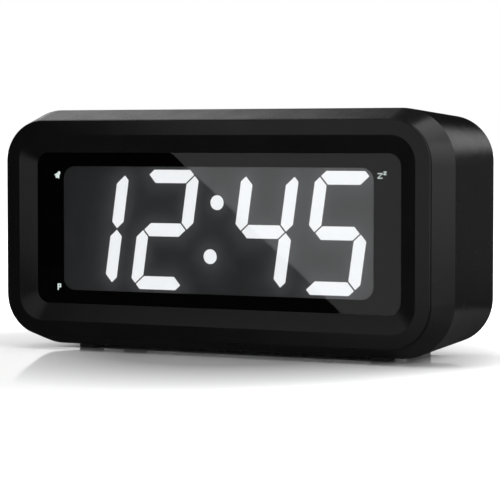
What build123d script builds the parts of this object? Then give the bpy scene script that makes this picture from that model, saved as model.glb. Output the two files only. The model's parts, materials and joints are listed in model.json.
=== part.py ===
from build123d import *
import os
from math import atan, cos, radians, sin, sqrt, tan

# Digital desk clock: a black case with a sunken display, a snooze bar on top,
# and the setting keys and the hinged battery door at the back.
# +X is to the right, -Y is the display side and +Z is up. The origin is on the table
# under the middle of the case. Depths are counted backwards from the flat front rim,
# and heights inside the case are counted from its middle.

# Case outline, at its widest a little behind the front
case_width = 150.0
case_height = 73.0
case_depth = 50.0
case_corner = 16.8
band_depth = 10.8
band_inset = 3.35
rim_corner = 12.7
rear_inset_x = 3.6
rear_inset_z = 2.0
rear_corner = 13.9
rear_edge_round = 1.6
wall = 2.3
foot_drop = 1.3

# Running clearance, loose clearance and a cut's overrun
slip = 0.1
gap = 0.3
overrun = 1.0

# Front bezel, with the thin groove that parts it from the case
rim_width = 4.5
rim_inner_corner = 8.0
recess_inset = 5.35
recess_depth = 2.2
opening_corner = 4.0
groove_front = 0.45
groove_width = 0.3
groove_inset = 0.8
mouth_inset = 2.8
skirt_depth = 8.0
bezel_web = 1.5
core_front = 2.6
edge_ease = 0.25

# Lens, printed mask and its window
lens_overlap = 1.2
lens_thickness = 1.2
mask_thickness = 0.2
window_border_x = 9.0
window_border_z = 4.175
window_corner = 3.8

# Digits of the display, leaning to the right
digit_width_share = 0.1809
digit_pitch_share = 0.2311
pair_offset_share = 0.2742
digit_margin = 0.95
bar_width = 4.0
bar_cut = 3.3
bar_gap = 0.45
digit_lean = 8.3
colon_radius = 2.2
colon_spread_share = 0.4457
colon_lift = 0.35
reflector_margin_x = 6.2
reflector_margin_z = 3.875
reflector_depth = 8.0
reflector_corner = 1.0
fill_depth = 6.0
led_length = 2.0
led_width = 1.2
led_height = 0.8
led_margin = 0.6

# Status signs in the border of the mask
sign_offset = 1.6
bell_shift = 0.42
bell_drop = 2.7
bell_dome = 0.5
bell_skirt_width = 2.2
bell_skirt_height = 1.5
bell_skirt_flare = 62.0
bell_clapper = 0.3
bell_tilt = -36.0
afternoon_rise = 0.825
letter_height = 2.0
letter_width = 1.3
letter_stroke = 0.42
snooze_sign_offset = 2.0
snooze_sign_drop = 2.3
snooze_sign_size = 1.6
snooze_sign_small = 1.0
snooze_sign_stroke = 0.26
snooze_sign_step_x = 1.55
snooze_sign_step_z = 0.75
sign_block = 4.0

# Screws
screw_radius = 1.25
screw_head_radius = 2.2
screw_head_height = 1.1
screw_recess_length = 2.4
screw_recess_width = 0.6
screw_recess_depth = 0.6
pilot_clearance = 0.05
through_clearance = 0.25
head_clearance = 0.2
case_screw_length = 12.0
short_screw_length = 6.0

# Bezel posts and case lugs
post_radius = 2.4
bezel_screw_inset = 6.6
lug_thickness = 2.4
lug_width = 7.0
lug_inner_margin = 3.5
lug_outer_margin = 7.1
display_screw_inset = 5.0

# Main board behind the display, and what stands on its back
board_thickness = 1.6
main_board_margin_x = 13.0
main_board_margin_z = 6.5
board_corner = 2.0
chip_width = 13.0
chip_height = 9.0
chip_thickness = 2.2
chip_x = -14.0
chip_z = -6.0
chip_leg_reach = 1.2
chip_leg_width = 0.5
chip_leg_pitch = 1.27
chip_leg_count = 8
chip_leg_height = 0.4
crystal_radius = 1.5
crystal_length = 8.0
crystal_x = -30.0
crystal_z = -3.0
capacitor_radius = 3.2
capacitor_length = 8.0
capacitor_pitch = 8.0
capacitor_x = 12.0
capacitor_z = -12.0
capacitor_score = 0.3

# Rear cover, seated in the back of the case
cover_thickness = 2.2
cover_set_back = 0.6
cover_slip = 0.15
ledge_inset = 0.9
ledge_depth = 2.0
boss_radius = 3.2
boss_bite = 0.8
boss_length = 17.0

# Battery cells and their bay, two rows of two
cell_radius = 7.25
cell_length = 50.5
cell_nub_radius = 2.75
cell_nub_length = 1.3
cell_edge = 0.6
cell_margin = 0.15
cell_row_pitch = 15.5
spring_length = 4.0
spring_radius = 4.6
spring_tip_radius = 3.0
contact_thickness = 0.5
contact_size = 11.0
contact_tab_width = 2.5
contact_tab_reach = 3.0
bay_wall = 1.5
bay_floor_gap = 0.1
bay_rise = 23.9
bay_ledge_x = 2.0
bay_ledge_z = 1.7
bay_frame_side = 2.0
bay_frame_top = 1.6
bay_frame_bottom = 1.2
bay_frame_depth = 2.0
hook_width = 9.0
hook_thickness = 1.6
hook_reach = 1.2
hook_x = 36.0

# Battery door with a hinge barrel along its lower edge
door_thickness = 2.0
door_gap = 0.2
barrel_radius = 1.8
pin_radius = 1.2
pin_length = 1.2
pin_clearance = 0.06
pin_end_gap = 0.3
tongue_width = 14.0
tongue_length = 10.0
tongue_slit = 0.8
grip_ridge_height = 0.35
grip_ridge_width = 0.8
grip_ridge_pitch = 2.0
grip_ridge_count = 3
scoop_radius = 5.4
scoop_depth = 1.1

# Key board, its four keys and two slide switches
key_board_width = 98.0
key_board_height = 12.5
key_pitch = 14.0
key_length = 8.0
key_height = 5.0
key_proud = 0.45
key_flange = 0.9
key_flange_thickness = 1.2
key_stem_radius = 1.5
key_stem_length = 1.0
key_edge = 0.4
key_travel = 0.6
switch_size = 6.0
switch_height = 3.5
plunger_radius = 1.75
plunger_clearance = 0.1
plunger_sink = 0.8
plunger_proud = 1.5
key_post_x = 46.0
slider_x = 35.0
slider_travel = 4.0
slider_length = 5.0
slider_height = 3.2
slider_flange_length = 12.0
slider_flange_height = 6.0
slider_flange_thickness = 1.1
slider_lever_length = 2.0
slider_lever_height = 1.4
slider_lever_sink = 1.2
slide_body_length = 9.5
slide_body_height = 4.8
slide_body_depth = 4.0
slide_slot_depth = 1.8
slider_groove_width = 0.5
slider_groove_depth = 0.35
slider_groove_pitch = 1.2

# Sounder on the main board, and the sound holes in the cover
buzzer_radius = 6.0
buzzer_depth = 7.5
buzzer_x = -40.0
buzzer_z = 12.0
buzzer_edge = 0.5
buzzer_bore = 1.2
buzzer_bore_depth = 1.0
sound_hole_radius = 0.6
sound_hole_ring = 2.4
sound_hole_count = 6
sound_hole_margin_x = 8.4
sound_hole_lift = 6.0

# Snooze bar in the top of the case
snooze_depth = 24.0
snooze_length = 56.0
snooze_width = 13.0
snooze_proud = 0.4
snooze_edge = 0.35
snooze_flange = 1.5
snooze_flange_thickness = 1.2
snooze_travel = 0.8
snooze_stem_radius = 1.5
snooze_stem_depth = 17.6
snooze_switch_width = 6.2
snooze_switch_depth = 7.6
snooze_switch_height = 3.6
snooze_switch_inset = 2.4
snooze_plunger_proud = 1.4
snooze_plunger_sink = 1.0
touch_gap = 0.05

# Ribbon between the boards, and the battery leads
plug_width = 16.0
plug_height = 5.0
plug_depth = 5.0
ribbon_x = 34.0
ribbon_width = 12.7
ribbon_thickness = 0.9
ribbon_sag = 6.0
ribbon_bend_share = 0.53
lead_radius = 0.6
lead_bow = 3.0
lead_bend = 3.0

# Feet, glued into shallow pockets
foot_width = 6.0
foot_length = 6.4
foot_corner = 1.2
foot_edge = 0.3
foot_inset = 24.9
front_foot_depth = 15.1
rear_foot_margin = 8.0
foot_pocket = 0.6
foot_slip = 0.1

# Depths and places that follow from the sizes above
front_y = -case_depth / 2
mid_z = foot_drop + case_height / 2
groove_back = groove_front + groove_width
cover_face = case_depth - cover_set_back
cover_seat = cover_face - cover_thickness
opening_width = case_width - 2 * (band_inset + rim_width + recess_inset)
opening_height = case_height - 2 * (band_inset + rim_width + recess_inset)
lens_width = opening_width + 2 * lens_overlap
lens_height = opening_height + 2 * lens_overlap
lens_corner = opening_corner + lens_overlap
window_width = opening_width - 2 * window_border_x
window_height = opening_height - 2 * window_border_z
digit_width = window_width * digit_width_share
digit_height = window_height - 2 * digit_margin
digit_pitch = window_width * digit_pitch_share
pair_offset = window_width * pair_offset_share
colon_spread = digit_height * colon_spread_share
reflector_width = window_width + 2 * reflector_margin_x
reflector_height = window_height + 2 * reflector_margin_z
sign_x = window_width / 2 + sign_offset
bell_x = -sign_x - bell_shift
bell_z = window_height / 2 - bell_drop
afternoon_z = afternoon_rise - window_height / 2
snooze_sign_x = window_width / 2 + snooze_sign_offset
snooze_sign_z = window_height / 2 - snooze_sign_drop
display_screw_x = reflector_width / 2 - display_screw_inset
main_board_width = case_width - 2 * main_board_margin_x
main_board_height = case_height - 2 * main_board_margin_z
snooze_switch_top = main_board_height / 2 - snooze_switch_inset
bay_mid_z = bay_rise - case_height / 2
cover_top = case_height / 2 - rear_inset_z - wall - cover_slip
foot_x = case_width / 2 - foot_inset
rear_foot_depth = case_depth - rear_foot_margin
mask_front = recess_depth + lens_thickness
display_front = mask_front + mask_thickness
main_board_front = display_front + reflector_depth
main_board_back = main_board_front + board_thickness
pilot_radius = screw_radius + pilot_clearance
through_radius = screw_radius + through_clearance
head_hole_radius = screw_head_radius + head_clearance
lean = tan(radians(digit_lean))


def place(x, depth, z):
    """A point in the part's frame from an across, depth and height place."""
    return (x, front_y + depth, mid_z + z)


def facing(depth):
    """The plane at a depth that faces the viewer; a negative extrusion goes deeper."""
    return Plane(origin=place(0, depth, 0), x_dir=(1, 0, 0), z_dir=(0, -1, 0))


def across(x, depth=0, z=0):
    """The plane across the case at x, with its own x backwards and its y upwards."""
    return Plane(origin=place(x, depth, z), x_dir=(0, 1, 0), z_dir=(1, 0, 0))


def case_size(depth):
    """Width, height and corner radius of the case at a depth."""
    rim = (case_width - 2 * band_inset, case_height - 2 * band_inset, rim_corner)
    widest = (case_width, case_height, case_corner)
    rear = (case_width - 2 * rear_inset_x, case_height - 2 * rear_inset_z, rear_corner)
    if depth <= band_depth:
        start, end, share = rim, widest, depth / band_depth
    else:
        start, end = widest, rear
        share = (depth - band_depth) / (case_depth - band_depth)
    return [a + (b - a) * share for a, b in zip(start, end)]


def case_section(depth, inset=0):
    """The case's rounded rectangle at a depth, drawn smaller by an inset all round."""
    width, height, corner = case_size(depth)
    RectangleRounded(width - 2 * inset, height - 2 * inset, corner - inset)


def case_loft(stations, mode=Mode.ADD):
    """A straight-sided loft through (depth, inset) stations of the case."""
    sections = []
    for depth, inset in stations:
        with BuildSketch(facing(depth)) as station:
            case_section(depth, inset)
        sections.append(station.sketch)
    loft(sections, ruled=True, mode=mode)


def mirrored_places(x, z):
    """The same place in all four quarters."""
    return [(i * x, j * z) for i in (-1, 1) for j in (-1, 1)]


def draw_screws(seat, places, length, turn=-1):
    """Pan-head screws under their seat plane's heads; turn is -1 for heads in front."""
    with BuildSketch(seat) as heads:
        with Locations(*places):
            Circle(screw_head_radius)
    extrude(heads.sketch, amount=-turn * screw_head_height)
    with BuildSketch(seat) as shanks:
        with Locations(*places):
            Circle(screw_radius)
    extrude(shanks.sketch, amount=turn * length)
    with BuildSketch(seat.offset(-turn * screw_head_height)) as recesses:
        with Locations(*places):
            Rectangle(screw_recess_length, screw_recess_width)
            Rectangle(screw_recess_width, screw_recess_length)
    extrude(recesses.sketch, amount=turn * screw_recess_depth, mode=Mode.SUBTRACT)


def finish(part, name):
    """Label a finished piece and write it."""
    part.label = name
    export_step(part, f"parts/{name}.step")


os.makedirs("parts", exist_ok=True)

# Main housing: the band, sides and top in one moulding, open at both ends
width, height, corner = case_size(cover_seat)
boss_swing = (corner - wall - boss_radius + boss_bite) / sqrt(2)
boss_x = width / 2 - corner + boss_swing
boss_z = height / 2 - corner + boss_swing
boss_places = [(-boss_x, boss_z), (boss_x, boss_z)]
bezel_width, bezel_height, bezel_corner = case_size(groove_back)
skirt_width = bezel_width - 2 * (mouth_inset + slip)
skirt_height = bezel_height - 2 * (mouth_inset + slip)
skirt_corner = bezel_corner - mouth_inset - slip
pocket_width = lens_width + 2 * slip
pocket_height = lens_height + 2 * slip
pocket_corner = lens_corner + slip
bezel_screw_x = (skirt_width + pocket_width) / 4
bezel_screw_z = pocket_height / 2 - bezel_screw_inset
display_screw_z = (skirt_height + pocket_height) / 4
top_slope = atan(rear_inset_z / (case_depth - band_depth))
snooze_top = case_size(snooze_depth)[1] / 2
snooze_plane = Plane(
    origin=place(0, snooze_depth, snooze_top),
    x_dir=(1, 0, 0),
    z_dir=(0, sin(top_slope), cos(top_slope)),
)
foot_places = {
    "left_front_foot": (-foot_x, front_foot_depth),
    "right_front_foot": (foot_x, front_foot_depth),
    "left_rear_foot": (-foot_x, rear_foot_depth),
    "right_rear_foot": (foot_x, rear_foot_depth),
}


def foot_top(depth):
    """Height of a foot pocket's floor above the table."""
    return mid_z - case_size(depth)[1] / 2 + foot_pocket


with BuildPart() as main_housing:
    case_loft([(groove_back, 0), (band_depth, 0)])
    case_loft([(band_depth, 0), (case_depth, 0)])
    fillet(main_housing.faces().sort_by(Axis.Y)[-1].edges(), rear_edge_round)
    case_loft([(groove_back, mouth_inset), (band_depth, wall)], Mode.SUBTRACT)
    case_loft([(band_depth, wall), (cover_seat - ledge_depth, wall)], Mode.SUBTRACT)
    with BuildSketch(facing(cover_seat - ledge_depth)):
        case_section(cover_seat, wall + ledge_inset)
    extrude(amount=-ledge_depth, mode=Mode.SUBTRACT)
    with BuildSketch(facing(cover_seat)):
        case_section(case_depth, wall)
    extrude(amount=-(case_depth - cover_seat), mode=Mode.SUBTRACT)
    with BuildSketch(facing(cover_seat)):
        with Locations(*boss_places):
            Circle(boss_radius)
    extrude(amount=boss_length)
    with BuildSketch(facing(cover_seat)):
        with Locations(*boss_places):
            Circle(pilot_radius)
    extrude(amount=case_screw_length, mode=Mode.SUBTRACT)
    lug_reach = lug_inner_margin + lug_outer_margin
    lug_x = bezel_screw_x + (lug_outer_margin - lug_inner_margin) / 2
    with BuildSketch(facing(skirt_depth)):
        with Locations(*mirrored_places(lug_x, bezel_screw_z)):
            Rectangle(lug_reach, lug_width)
        with Locations(*mirrored_places(bezel_screw_x, bezel_screw_z)):
            Circle(through_radius, mode=Mode.SUBTRACT)
    extrude(amount=-lug_thickness)
    with BuildSketch(snooze_plane):
        SlotOverall(snooze_length + 2 * gap, snooze_width + 2 * gap)
    extrude(amount=wall + overrun, both=True, mode=Mode.SUBTRACT)
    for foot_across, foot_depth in foot_places.values():
        with BuildSketch(Plane.XY.offset(foot_top(foot_depth))):
            with Locations((foot_across, front_y + foot_depth)):
                RectangleRounded(
                    foot_width + 2 * foot_slip, foot_length + 2 * foot_slip, foot_corner + foot_slip
                )
        extrude(amount=-foot_top(foot_depth), mode=Mode.SUBTRACT)
finish(main_housing.part, "main_housing")

# Front bezel: flat rim, sloping walls down to the lens, and a skirt inside the case
with BuildPart() as front_bezel:
    case_loft([(0, 0), (groove_front, 0)])
    with BuildSketch(facing(groove_front)):
        case_section(groove_back, groove_inset)
    extrude(amount=-groove_width)
    with BuildSketch(facing(groove_back)):
        RectangleRounded(skirt_width, skirt_height, skirt_corner)
    extrude(amount=-(skirt_depth - groove_back))
    with BuildSketch(facing(0)):
        RectangleRounded(
            opening_width + 2 * recess_inset, opening_height + 2 * recess_inset, rim_inner_corner
        )
    with BuildSketch(facing(recess_depth)):
        RectangleRounded(opening_width, opening_height, opening_corner)
    loft(ruled=True, mode=Mode.SUBTRACT)
    with BuildSketch(facing(recess_depth)):
        RectangleRounded(pocket_width, pocket_height, pocket_corner)
    extrude(amount=-(skirt_depth - recess_depth), mode=Mode.SUBTRACT)
    with BuildSketch(facing(core_front)):
        RectangleRounded(
            skirt_width - 2 * bezel_web, skirt_height - 2 * bezel_web, skirt_corner - bezel_web
        )
        RectangleRounded(
            pocket_width + 2 * bezel_web,
            pocket_height + 2 * bezel_web,
            pocket_corner + bezel_web,
            mode=Mode.SUBTRACT,
        )
    extrude(amount=-(skirt_depth - core_front), mode=Mode.SUBTRACT)
    with BuildSketch(facing(core_front)):
        with Locations(*mirrored_places(bezel_screw_x, bezel_screw_z)):
            Circle(post_radius)
            Circle(pilot_radius, mode=Mode.SUBTRACT)
    extrude(amount=-(skirt_depth - core_front))
    with BuildSketch(facing(core_front)):
        with Locations(*mirrored_places(display_screw_x, display_screw_z)):
            Circle(post_radius)
            Circle(pilot_radius, mode=Mode.SUBTRACT)
    extrude(amount=-(main_board_front - core_front))
    rim_edges = front_bezel.faces().sort_by(Axis.Y)[0].edges()
    fillet(rim_edges, edge_ease)
finish(front_bezel.part, "front_bezel")

# Smoked lens, and the mask printed behind it
with BuildPart() as front_lens:
    with BuildSketch(facing(recess_depth)):
        RectangleRounded(lens_width, lens_height, lens_corner)
    extrude(amount=-lens_thickness)
finish(front_lens.part, "front_lens")


def bell_sign():
    """A small alarm bell, leaning to one side."""
    with Locations(Location((bell_x, bell_z), bell_tilt)):
        with Locations((0, bell_skirt_height / 2)):
            Circle(bell_dome)
        Trapezoid(bell_skirt_width, bell_skirt_height, bell_skirt_flare)
        with Locations((0, -bell_skirt_height / 2 - bell_clapper / 2)):
            Circle(bell_clapper)


def afternoon_sign():
    """A plain letter P for the afternoon."""
    with Locations((-sign_x - (letter_width - letter_stroke) / 2, afternoon_z)):
        Rectangle(letter_stroke, letter_height)
    bowl_height = letter_height / 2 + letter_stroke / 2
    with Locations((-sign_x, afternoon_z + (letter_height - bowl_height) / 2)):
        Rectangle(letter_width, bowl_height)
        Rectangle(letter_width - 2 * letter_stroke, bowl_height - 2 * letter_stroke, mode=Mode.SUBTRACT)


def snooze_letter(x, z, size):
    """One plain letter Z of the snooze sign."""
    half = size / 2
    stroke = snooze_sign_stroke
    slope = stroke * sqrt(2)
    with Locations((x, z)):
        Polygon(
            (-half, half),
            (half, half),
            (half, half - stroke),
            (slope - half, stroke - half),
            (half, stroke - half),
            (half, -half),
            (-half, -half),
            (-half, stroke - half),
            (half - slope, half - stroke),
            (-half, half - stroke),
            align=None,
        )


def snooze_sign():
    """A large and a small letter Z, the small one raised."""
    snooze_letter(snooze_sign_x, snooze_sign_z, snooze_sign_size)
    snooze_letter(
        snooze_sign_x + snooze_sign_step_x, snooze_sign_z + snooze_sign_step_z, snooze_sign_small
    )


signs = {
    "alarm_light_guide": (bell_sign, bell_x, bell_z),
    "afternoon_light_guide": (afternoon_sign, -sign_x, afternoon_z),
    "snooze_light_guide": (snooze_sign, snooze_sign_x + snooze_sign_step_x / 2, snooze_sign_z),
}

with BuildPart() as lens_mask:
    with BuildSketch(facing(mask_front)):
        RectangleRounded(lens_width, lens_height, lens_corner)
        RectangleRounded(window_width, window_height, window_corner, mode=Mode.SUBTRACT)
    extrude(amount=-mask_thickness)
    with BuildSketch(facing(mask_front)):
        for draw_sign, sign_across, sign_height in signs.values():
            draw_sign()
    extrude(amount=-mask_thickness, mode=Mode.SUBTRACT)
finish(lens_mask.part, "lens_mask")


# Seven-bar digits. The bars meet at mitred corners with a thin gap between them.
def bar_points(bar):
    """The six corners of one bar of a digit, a to g, leaning to the right."""
    side = digit_width / 2
    top = digit_height / 2
    mitre = bar_gap / sqrt(2)
    tip_out = (bar_cut + mitre) / 2
    tip_in = (bar_cut - mitre) / 2
    half_bar = bar_width / 2
    middle_shift = bar_gap * sqrt(2) - bar_gap / 2
    waist = half_bar + bar_gap / 2
    level = [
        (tip_out - side, top - tip_in),
        (bar_cut - side, top),
        (side - bar_cut, top),
        (side - tip_out, top - tip_in),
        (side - bar_width - mitre, top - bar_width),
        (bar_width + mitre - side, top - bar_width),
    ]
    upright = [
        (side - tip_in, top - tip_out),
        (side, top - bar_cut),
        (side, waist),
        (side - half_bar, bar_gap / 2),
        (side - bar_width, waist),
        (side - bar_width, top - bar_width - mitre),
    ]
    centre = [
        (half_bar + middle_shift - side, 0),
        (bar_width + middle_shift - side, half_bar),
        (side - bar_width - middle_shift, half_bar),
        (side - half_bar - middle_shift, 0),
        (side - bar_width - middle_shift, -half_bar),
        (bar_width + middle_shift - side, -half_bar),
    ]
    shapes = {
        "a": (level, 1, 1),
        "b": (upright, 1, 1),
        "c": (upright, 1, -1),
        "d": (level, 1, -1),
        "e": (upright, -1, -1),
        "f": (upright, -1, 1),
        "g": (centre, 1, 1),
    }
    outline, flip_x, flip_z = shapes[bar]
    return [(flip_x * x + lean * flip_z * z, flip_z * z) for x, z in outline]


def bar_middle(bar):
    """The middle of a bar, where its lamp sits."""
    points = bar_points(bar)
    return [sum(axis) / len(points) for axis in zip(*points)]


def draw_bars(digit_x, bars):
    """The bars of one digit as flat shapes."""
    with Locations((digit_x, 0)):
        for bar in bars:
            Polygon(*bar_points(bar), align=None)


all_bars = "abcdefg"
digits = {
    "hour_tens": (-pair_offset - digit_pitch / 2, "bc"),
    "hour_ones": (-pair_offset + digit_pitch / 2, "abdeg"),
    "minute_tens": (pair_offset - digit_pitch / 2, "bcfg"),
    "minute_ones": (pair_offset + digit_pitch / 2, "acdfg"),
}
colon_places = [
    (lean * level, level)
    for level in (colon_lift + colon_spread / 2, colon_lift - colon_spread / 2)
]
lamp_places = [
    (digit_x + bar_middle(bar)[0], bar_middle(bar)[1])
    for digit_x, lit in digits.values()
    for bar in all_bars
] + colon_places

with BuildPart() as display_reflector:
    with BuildSketch(facing(display_front)):
        RectangleRounded(reflector_width, reflector_height, reflector_corner)
    extrude(amount=-reflector_depth)
    with BuildSketch(facing(display_front)):
        for digit_x, lit in digits.values():
            draw_bars(digit_x, all_bars)
        with Locations(*colon_places):
            Circle(colon_radius + pilot_clearance)
        for draw_sign, sign_across, sign_height in signs.values():
            with Locations((sign_across, sign_height)):
                Rectangle(sign_block, sign_block)
    extrude(amount=-fill_depth, mode=Mode.SUBTRACT)
    with BuildSketch(facing(main_board_front)):
        with Locations(*lamp_places):
            Rectangle(led_length + led_margin, led_width + led_margin)
        for draw_sign, sign_across, sign_height in signs.values():
            with Locations((sign_across, sign_height)):
                Rectangle(led_length + led_margin, led_width + led_margin)
    extrude(amount=reflector_depth - fill_depth, mode=Mode.SUBTRACT)
finish(display_reflector.part, "display_reflector")

for digit_name, (digit_x, lit) in digits.items():
    with BuildPart() as lit_bars:
        with BuildSketch(facing(display_front)):
            draw_bars(digit_x, lit)
        extrude(amount=-fill_depth)
    finish(lit_bars.part, f"{digit_name}_lit_bars")

with BuildPart() as dark_bars:
    with BuildSketch(facing(display_front)):
        for digit_x, lit in digits.values():
            draw_bars(digit_x, [bar for bar in all_bars if bar not in lit])
    extrude(amount=-fill_depth)
finish(dark_bars.part, "dark_bars")

with BuildPart() as colon_dots:
    with BuildSketch(facing(display_front)):
        with Locations(*colon_places):
            Circle(colon_radius)
    extrude(amount=-fill_depth)
finish(colon_dots.part, "colon_dots")

for guide_name, (draw_sign, sign_across, sign_height) in signs.items():
    with BuildPart() as light_guide:
        with BuildSketch(facing(display_front)):
            with Locations((sign_across, sign_height)):
                Rectangle(sign_block, sign_block)
        extrude(amount=-fill_depth)
        with BuildSketch(facing(display_front)):
            draw_sign()
        extrude(amount=mask_thickness)
    finish(light_guide.part, guide_name)

# Main board, its lamps and the parts on its back
display_screw_places = mirrored_places(display_screw_x, display_screw_z)
with BuildPart() as main_board:
    with BuildSketch(facing(main_board_front)):
        RectangleRounded(main_board_width, main_board_height, board_corner)
        with Locations(*display_screw_places):
            Circle(through_radius, mode=Mode.SUBTRACT)
    extrude(amount=-board_thickness)
finish(main_board.part, "main_board")

with BuildPart() as segment_lamps:
    with BuildSketch(facing(main_board_front)):
        with Locations(*lamp_places):
            Rectangle(led_length, led_width)
    extrude(amount=led_height)
finish(segment_lamps.part, "segment_lamps")

with BuildPart() as sign_lamps:
    with BuildSketch(facing(main_board_front)):
        for draw_sign, sign_across, sign_height in signs.values():
            with Locations((sign_across, sign_height)):
                Rectangle(led_length, led_width)
    extrude(amount=led_height)
finish(sign_lamps.part, "sign_lamps")

with BuildPart() as clock_chip:
    with BuildSketch(facing(main_board_back)):
        with Locations((chip_x, chip_z)):
            Rectangle(chip_width, chip_height)
    extrude(amount=-chip_thickness)
    with BuildSketch(facing(main_board_back)):
        with Locations((chip_x, chip_z)):
            with GridLocations(chip_leg_pitch, chip_height + chip_leg_reach, chip_leg_count, 2):
                Rectangle(chip_leg_width, chip_leg_reach)
    extrude(amount=-chip_leg_height)
finish(clock_chip.part, "clock_chip")

with BuildPart() as quartz_crystal:
    with BuildSketch(across(crystal_x, main_board_back + crystal_radius, crystal_z)):
        Circle(crystal_radius)
    extrude(amount=crystal_length)
finish(quartz_crystal.part, "quartz_crystal")

with BuildPart() as capacitors:
    with BuildSketch(facing(main_board_back)):
        with Locations((capacitor_x, capacitor_z)):
            with GridLocations(capacitor_pitch, 0, 2, 1):
                Circle(capacitor_radius)
    extrude(amount=-capacitor_length)
    fillet(capacitors.faces().filter_by(Axis.Y).group_by(Axis.Y)[-1].edges(), capacitor_score)
finish(capacitors.part, "capacitors")

# Rear cover with the battery bay, the key openings and the sound holes
bay_width = 2 * cell_length + spring_length + 2 * contact_thickness
bay_height = 2 * cell_radius + cell_row_pitch + 4 * cell_margin
door_back = cover_face
door_front = door_back - door_thickness
bay_floor = door_front - 2 * cell_radius - 2 * bay_floor_gap
cell_depth = bay_floor + bay_floor_gap + cell_radius
lower_row_z = bay_mid_z - cell_row_pitch / 2
upper_row_z = bay_mid_z + cell_row_pitch / 2
recess_x = bay_width / 2 + bay_ledge_x + door_gap
recess_top = bay_mid_z + bay_height / 2 + bay_ledge_z + door_gap
recess_bottom = bay_mid_z - bay_height / 2 - bay_ledge_z - door_gap
recess_mid_z = (recess_top + recess_bottom) / 2
hinge_depth = door_back - barrel_radius
hinge_z = recess_bottom + door_gap + barrel_radius
door_half_width = recess_x - door_gap
pin_reach = door_half_width + pin_length
frame_x = recess_x + bay_frame_side
frame_top = recess_top + bay_frame_top
frame_bottom = recess_bottom - bay_frame_bottom
hook_bottom = frame_bottom - hook_reach
key_z = (frame_top + cover_top) / 2
key_board_back = cover_seat - key_flange_thickness - key_stem_length - plunger_proud - switch_height
key_board_front = key_board_back - board_thickness
key_places = {
    "time_key": -1.5 * key_pitch,
    "alarm_key": -0.5 * key_pitch,
    "hour_key": 0.5 * key_pitch,
    "minute_key": 1.5 * key_pitch,
}
slider_places = {"alarm": -slider_x, "dimmer": slider_x}
key_post_places = [(-key_post_x, key_z), (key_post_x, key_z)]
tab_depth = cell_depth
sound_hole_x = case_width / 2 - rear_inset_x - wall - sound_hole_margin_x

with BuildPart() as rear_cover:
    with BuildSketch(facing(cover_seat)):
        case_section(case_depth, wall + cover_slip)
    extrude(amount=-cover_thickness)
    with BuildSketch(facing(cover_seat - bay_frame_depth)):
        with Locations((0, (frame_top + frame_bottom) / 2)):
            Rectangle(2 * frame_x, frame_top - frame_bottom)
    extrude(amount=-bay_frame_depth)
    with BuildSketch(facing(cover_seat - bay_frame_depth - hook_thickness)):
        with Locations(*[(i * hook_x, (recess_bottom + hook_bottom) / 2) for i in (-1, 1)]):
            Rectangle(hook_width, recess_bottom - hook_bottom)
    extrude(amount=-hook_thickness)
    with BuildSketch(facing(bay_floor - bay_wall)):
        with Locations((0, bay_mid_z)):
            Rectangle(bay_width + 2 * bay_wall, bay_height + 2 * bay_wall)
    extrude(amount=-(cover_seat - bay_floor + bay_wall))
    with BuildSketch(facing(cover_face)):
        with Locations((0, recess_mid_z)):
            Rectangle(2 * recess_x, recess_top - recess_bottom)
    extrude(amount=door_thickness, mode=Mode.SUBTRACT)
    with BuildSketch(facing(cover_face)):
        with Locations((0, bay_mid_z)):
            Rectangle(bay_width, bay_height)
    extrude(amount=cover_face - bay_floor, mode=Mode.SUBTRACT)
    with BuildSketch(across(0, hinge_depth, hinge_z)):
        Circle(barrel_radius + door_gap)
    extrude(amount=recess_x, both=True, mode=Mode.SUBTRACT)
    with BuildSketch(across(0, hinge_depth, hinge_z)):
        Circle(pin_radius + pin_clearance)
    extrude(amount=pin_reach + pin_end_gap, both=True, mode=Mode.SUBTRACT)
    with BuildSketch(across(-bay_width / 2, tab_depth)):
        with Locations((0, upper_row_z), (0, lower_row_z)):
            Rectangle(contact_thickness + 2 * slip, contact_tab_width + 2 * slip)
    extrude(amount=-bay_wall, mode=Mode.SUBTRACT)
    with BuildSketch(facing(cover_face)):
        with Locations((0, recess_top)):
            Circle(scoop_radius)
    extrude(amount=scoop_depth, mode=Mode.SUBTRACT)
    with BuildSketch(facing(cover_face)):
        for key_x in key_places.values():
            with Locations((key_x, key_z)):
                SlotOverall(key_length + 2 * gap, key_height + 2 * gap)
        for slot_x in slider_places.values():
            with Locations((slot_x, key_z)):
                Rectangle(slider_length + slider_travel + 2 * gap, slider_height + 2 * gap)
        with Locations(*boss_places):
            Circle(through_radius)
        with Locations((sound_hole_x, frame_top + sound_hole_lift)):
            Circle(sound_hole_radius)
            with PolarLocations(sound_hole_ring, sound_hole_count):
                Circle(sound_hole_radius)
    extrude(amount=cover_thickness, mode=Mode.SUBTRACT)
    with BuildSketch(facing(cover_face)):
        with Locations(*boss_places):
            Circle(head_hole_radius)
    extrude(amount=screw_head_height, mode=Mode.SUBTRACT)
    with BuildSketch(facing(cover_seat)):
        with Locations(*key_post_places):
            Circle(post_radius)
            Circle(pilot_radius, mode=Mode.SUBTRACT)
    extrude(amount=cover_seat - key_board_back)
finish(rear_cover.part, "rear_cover")

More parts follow.
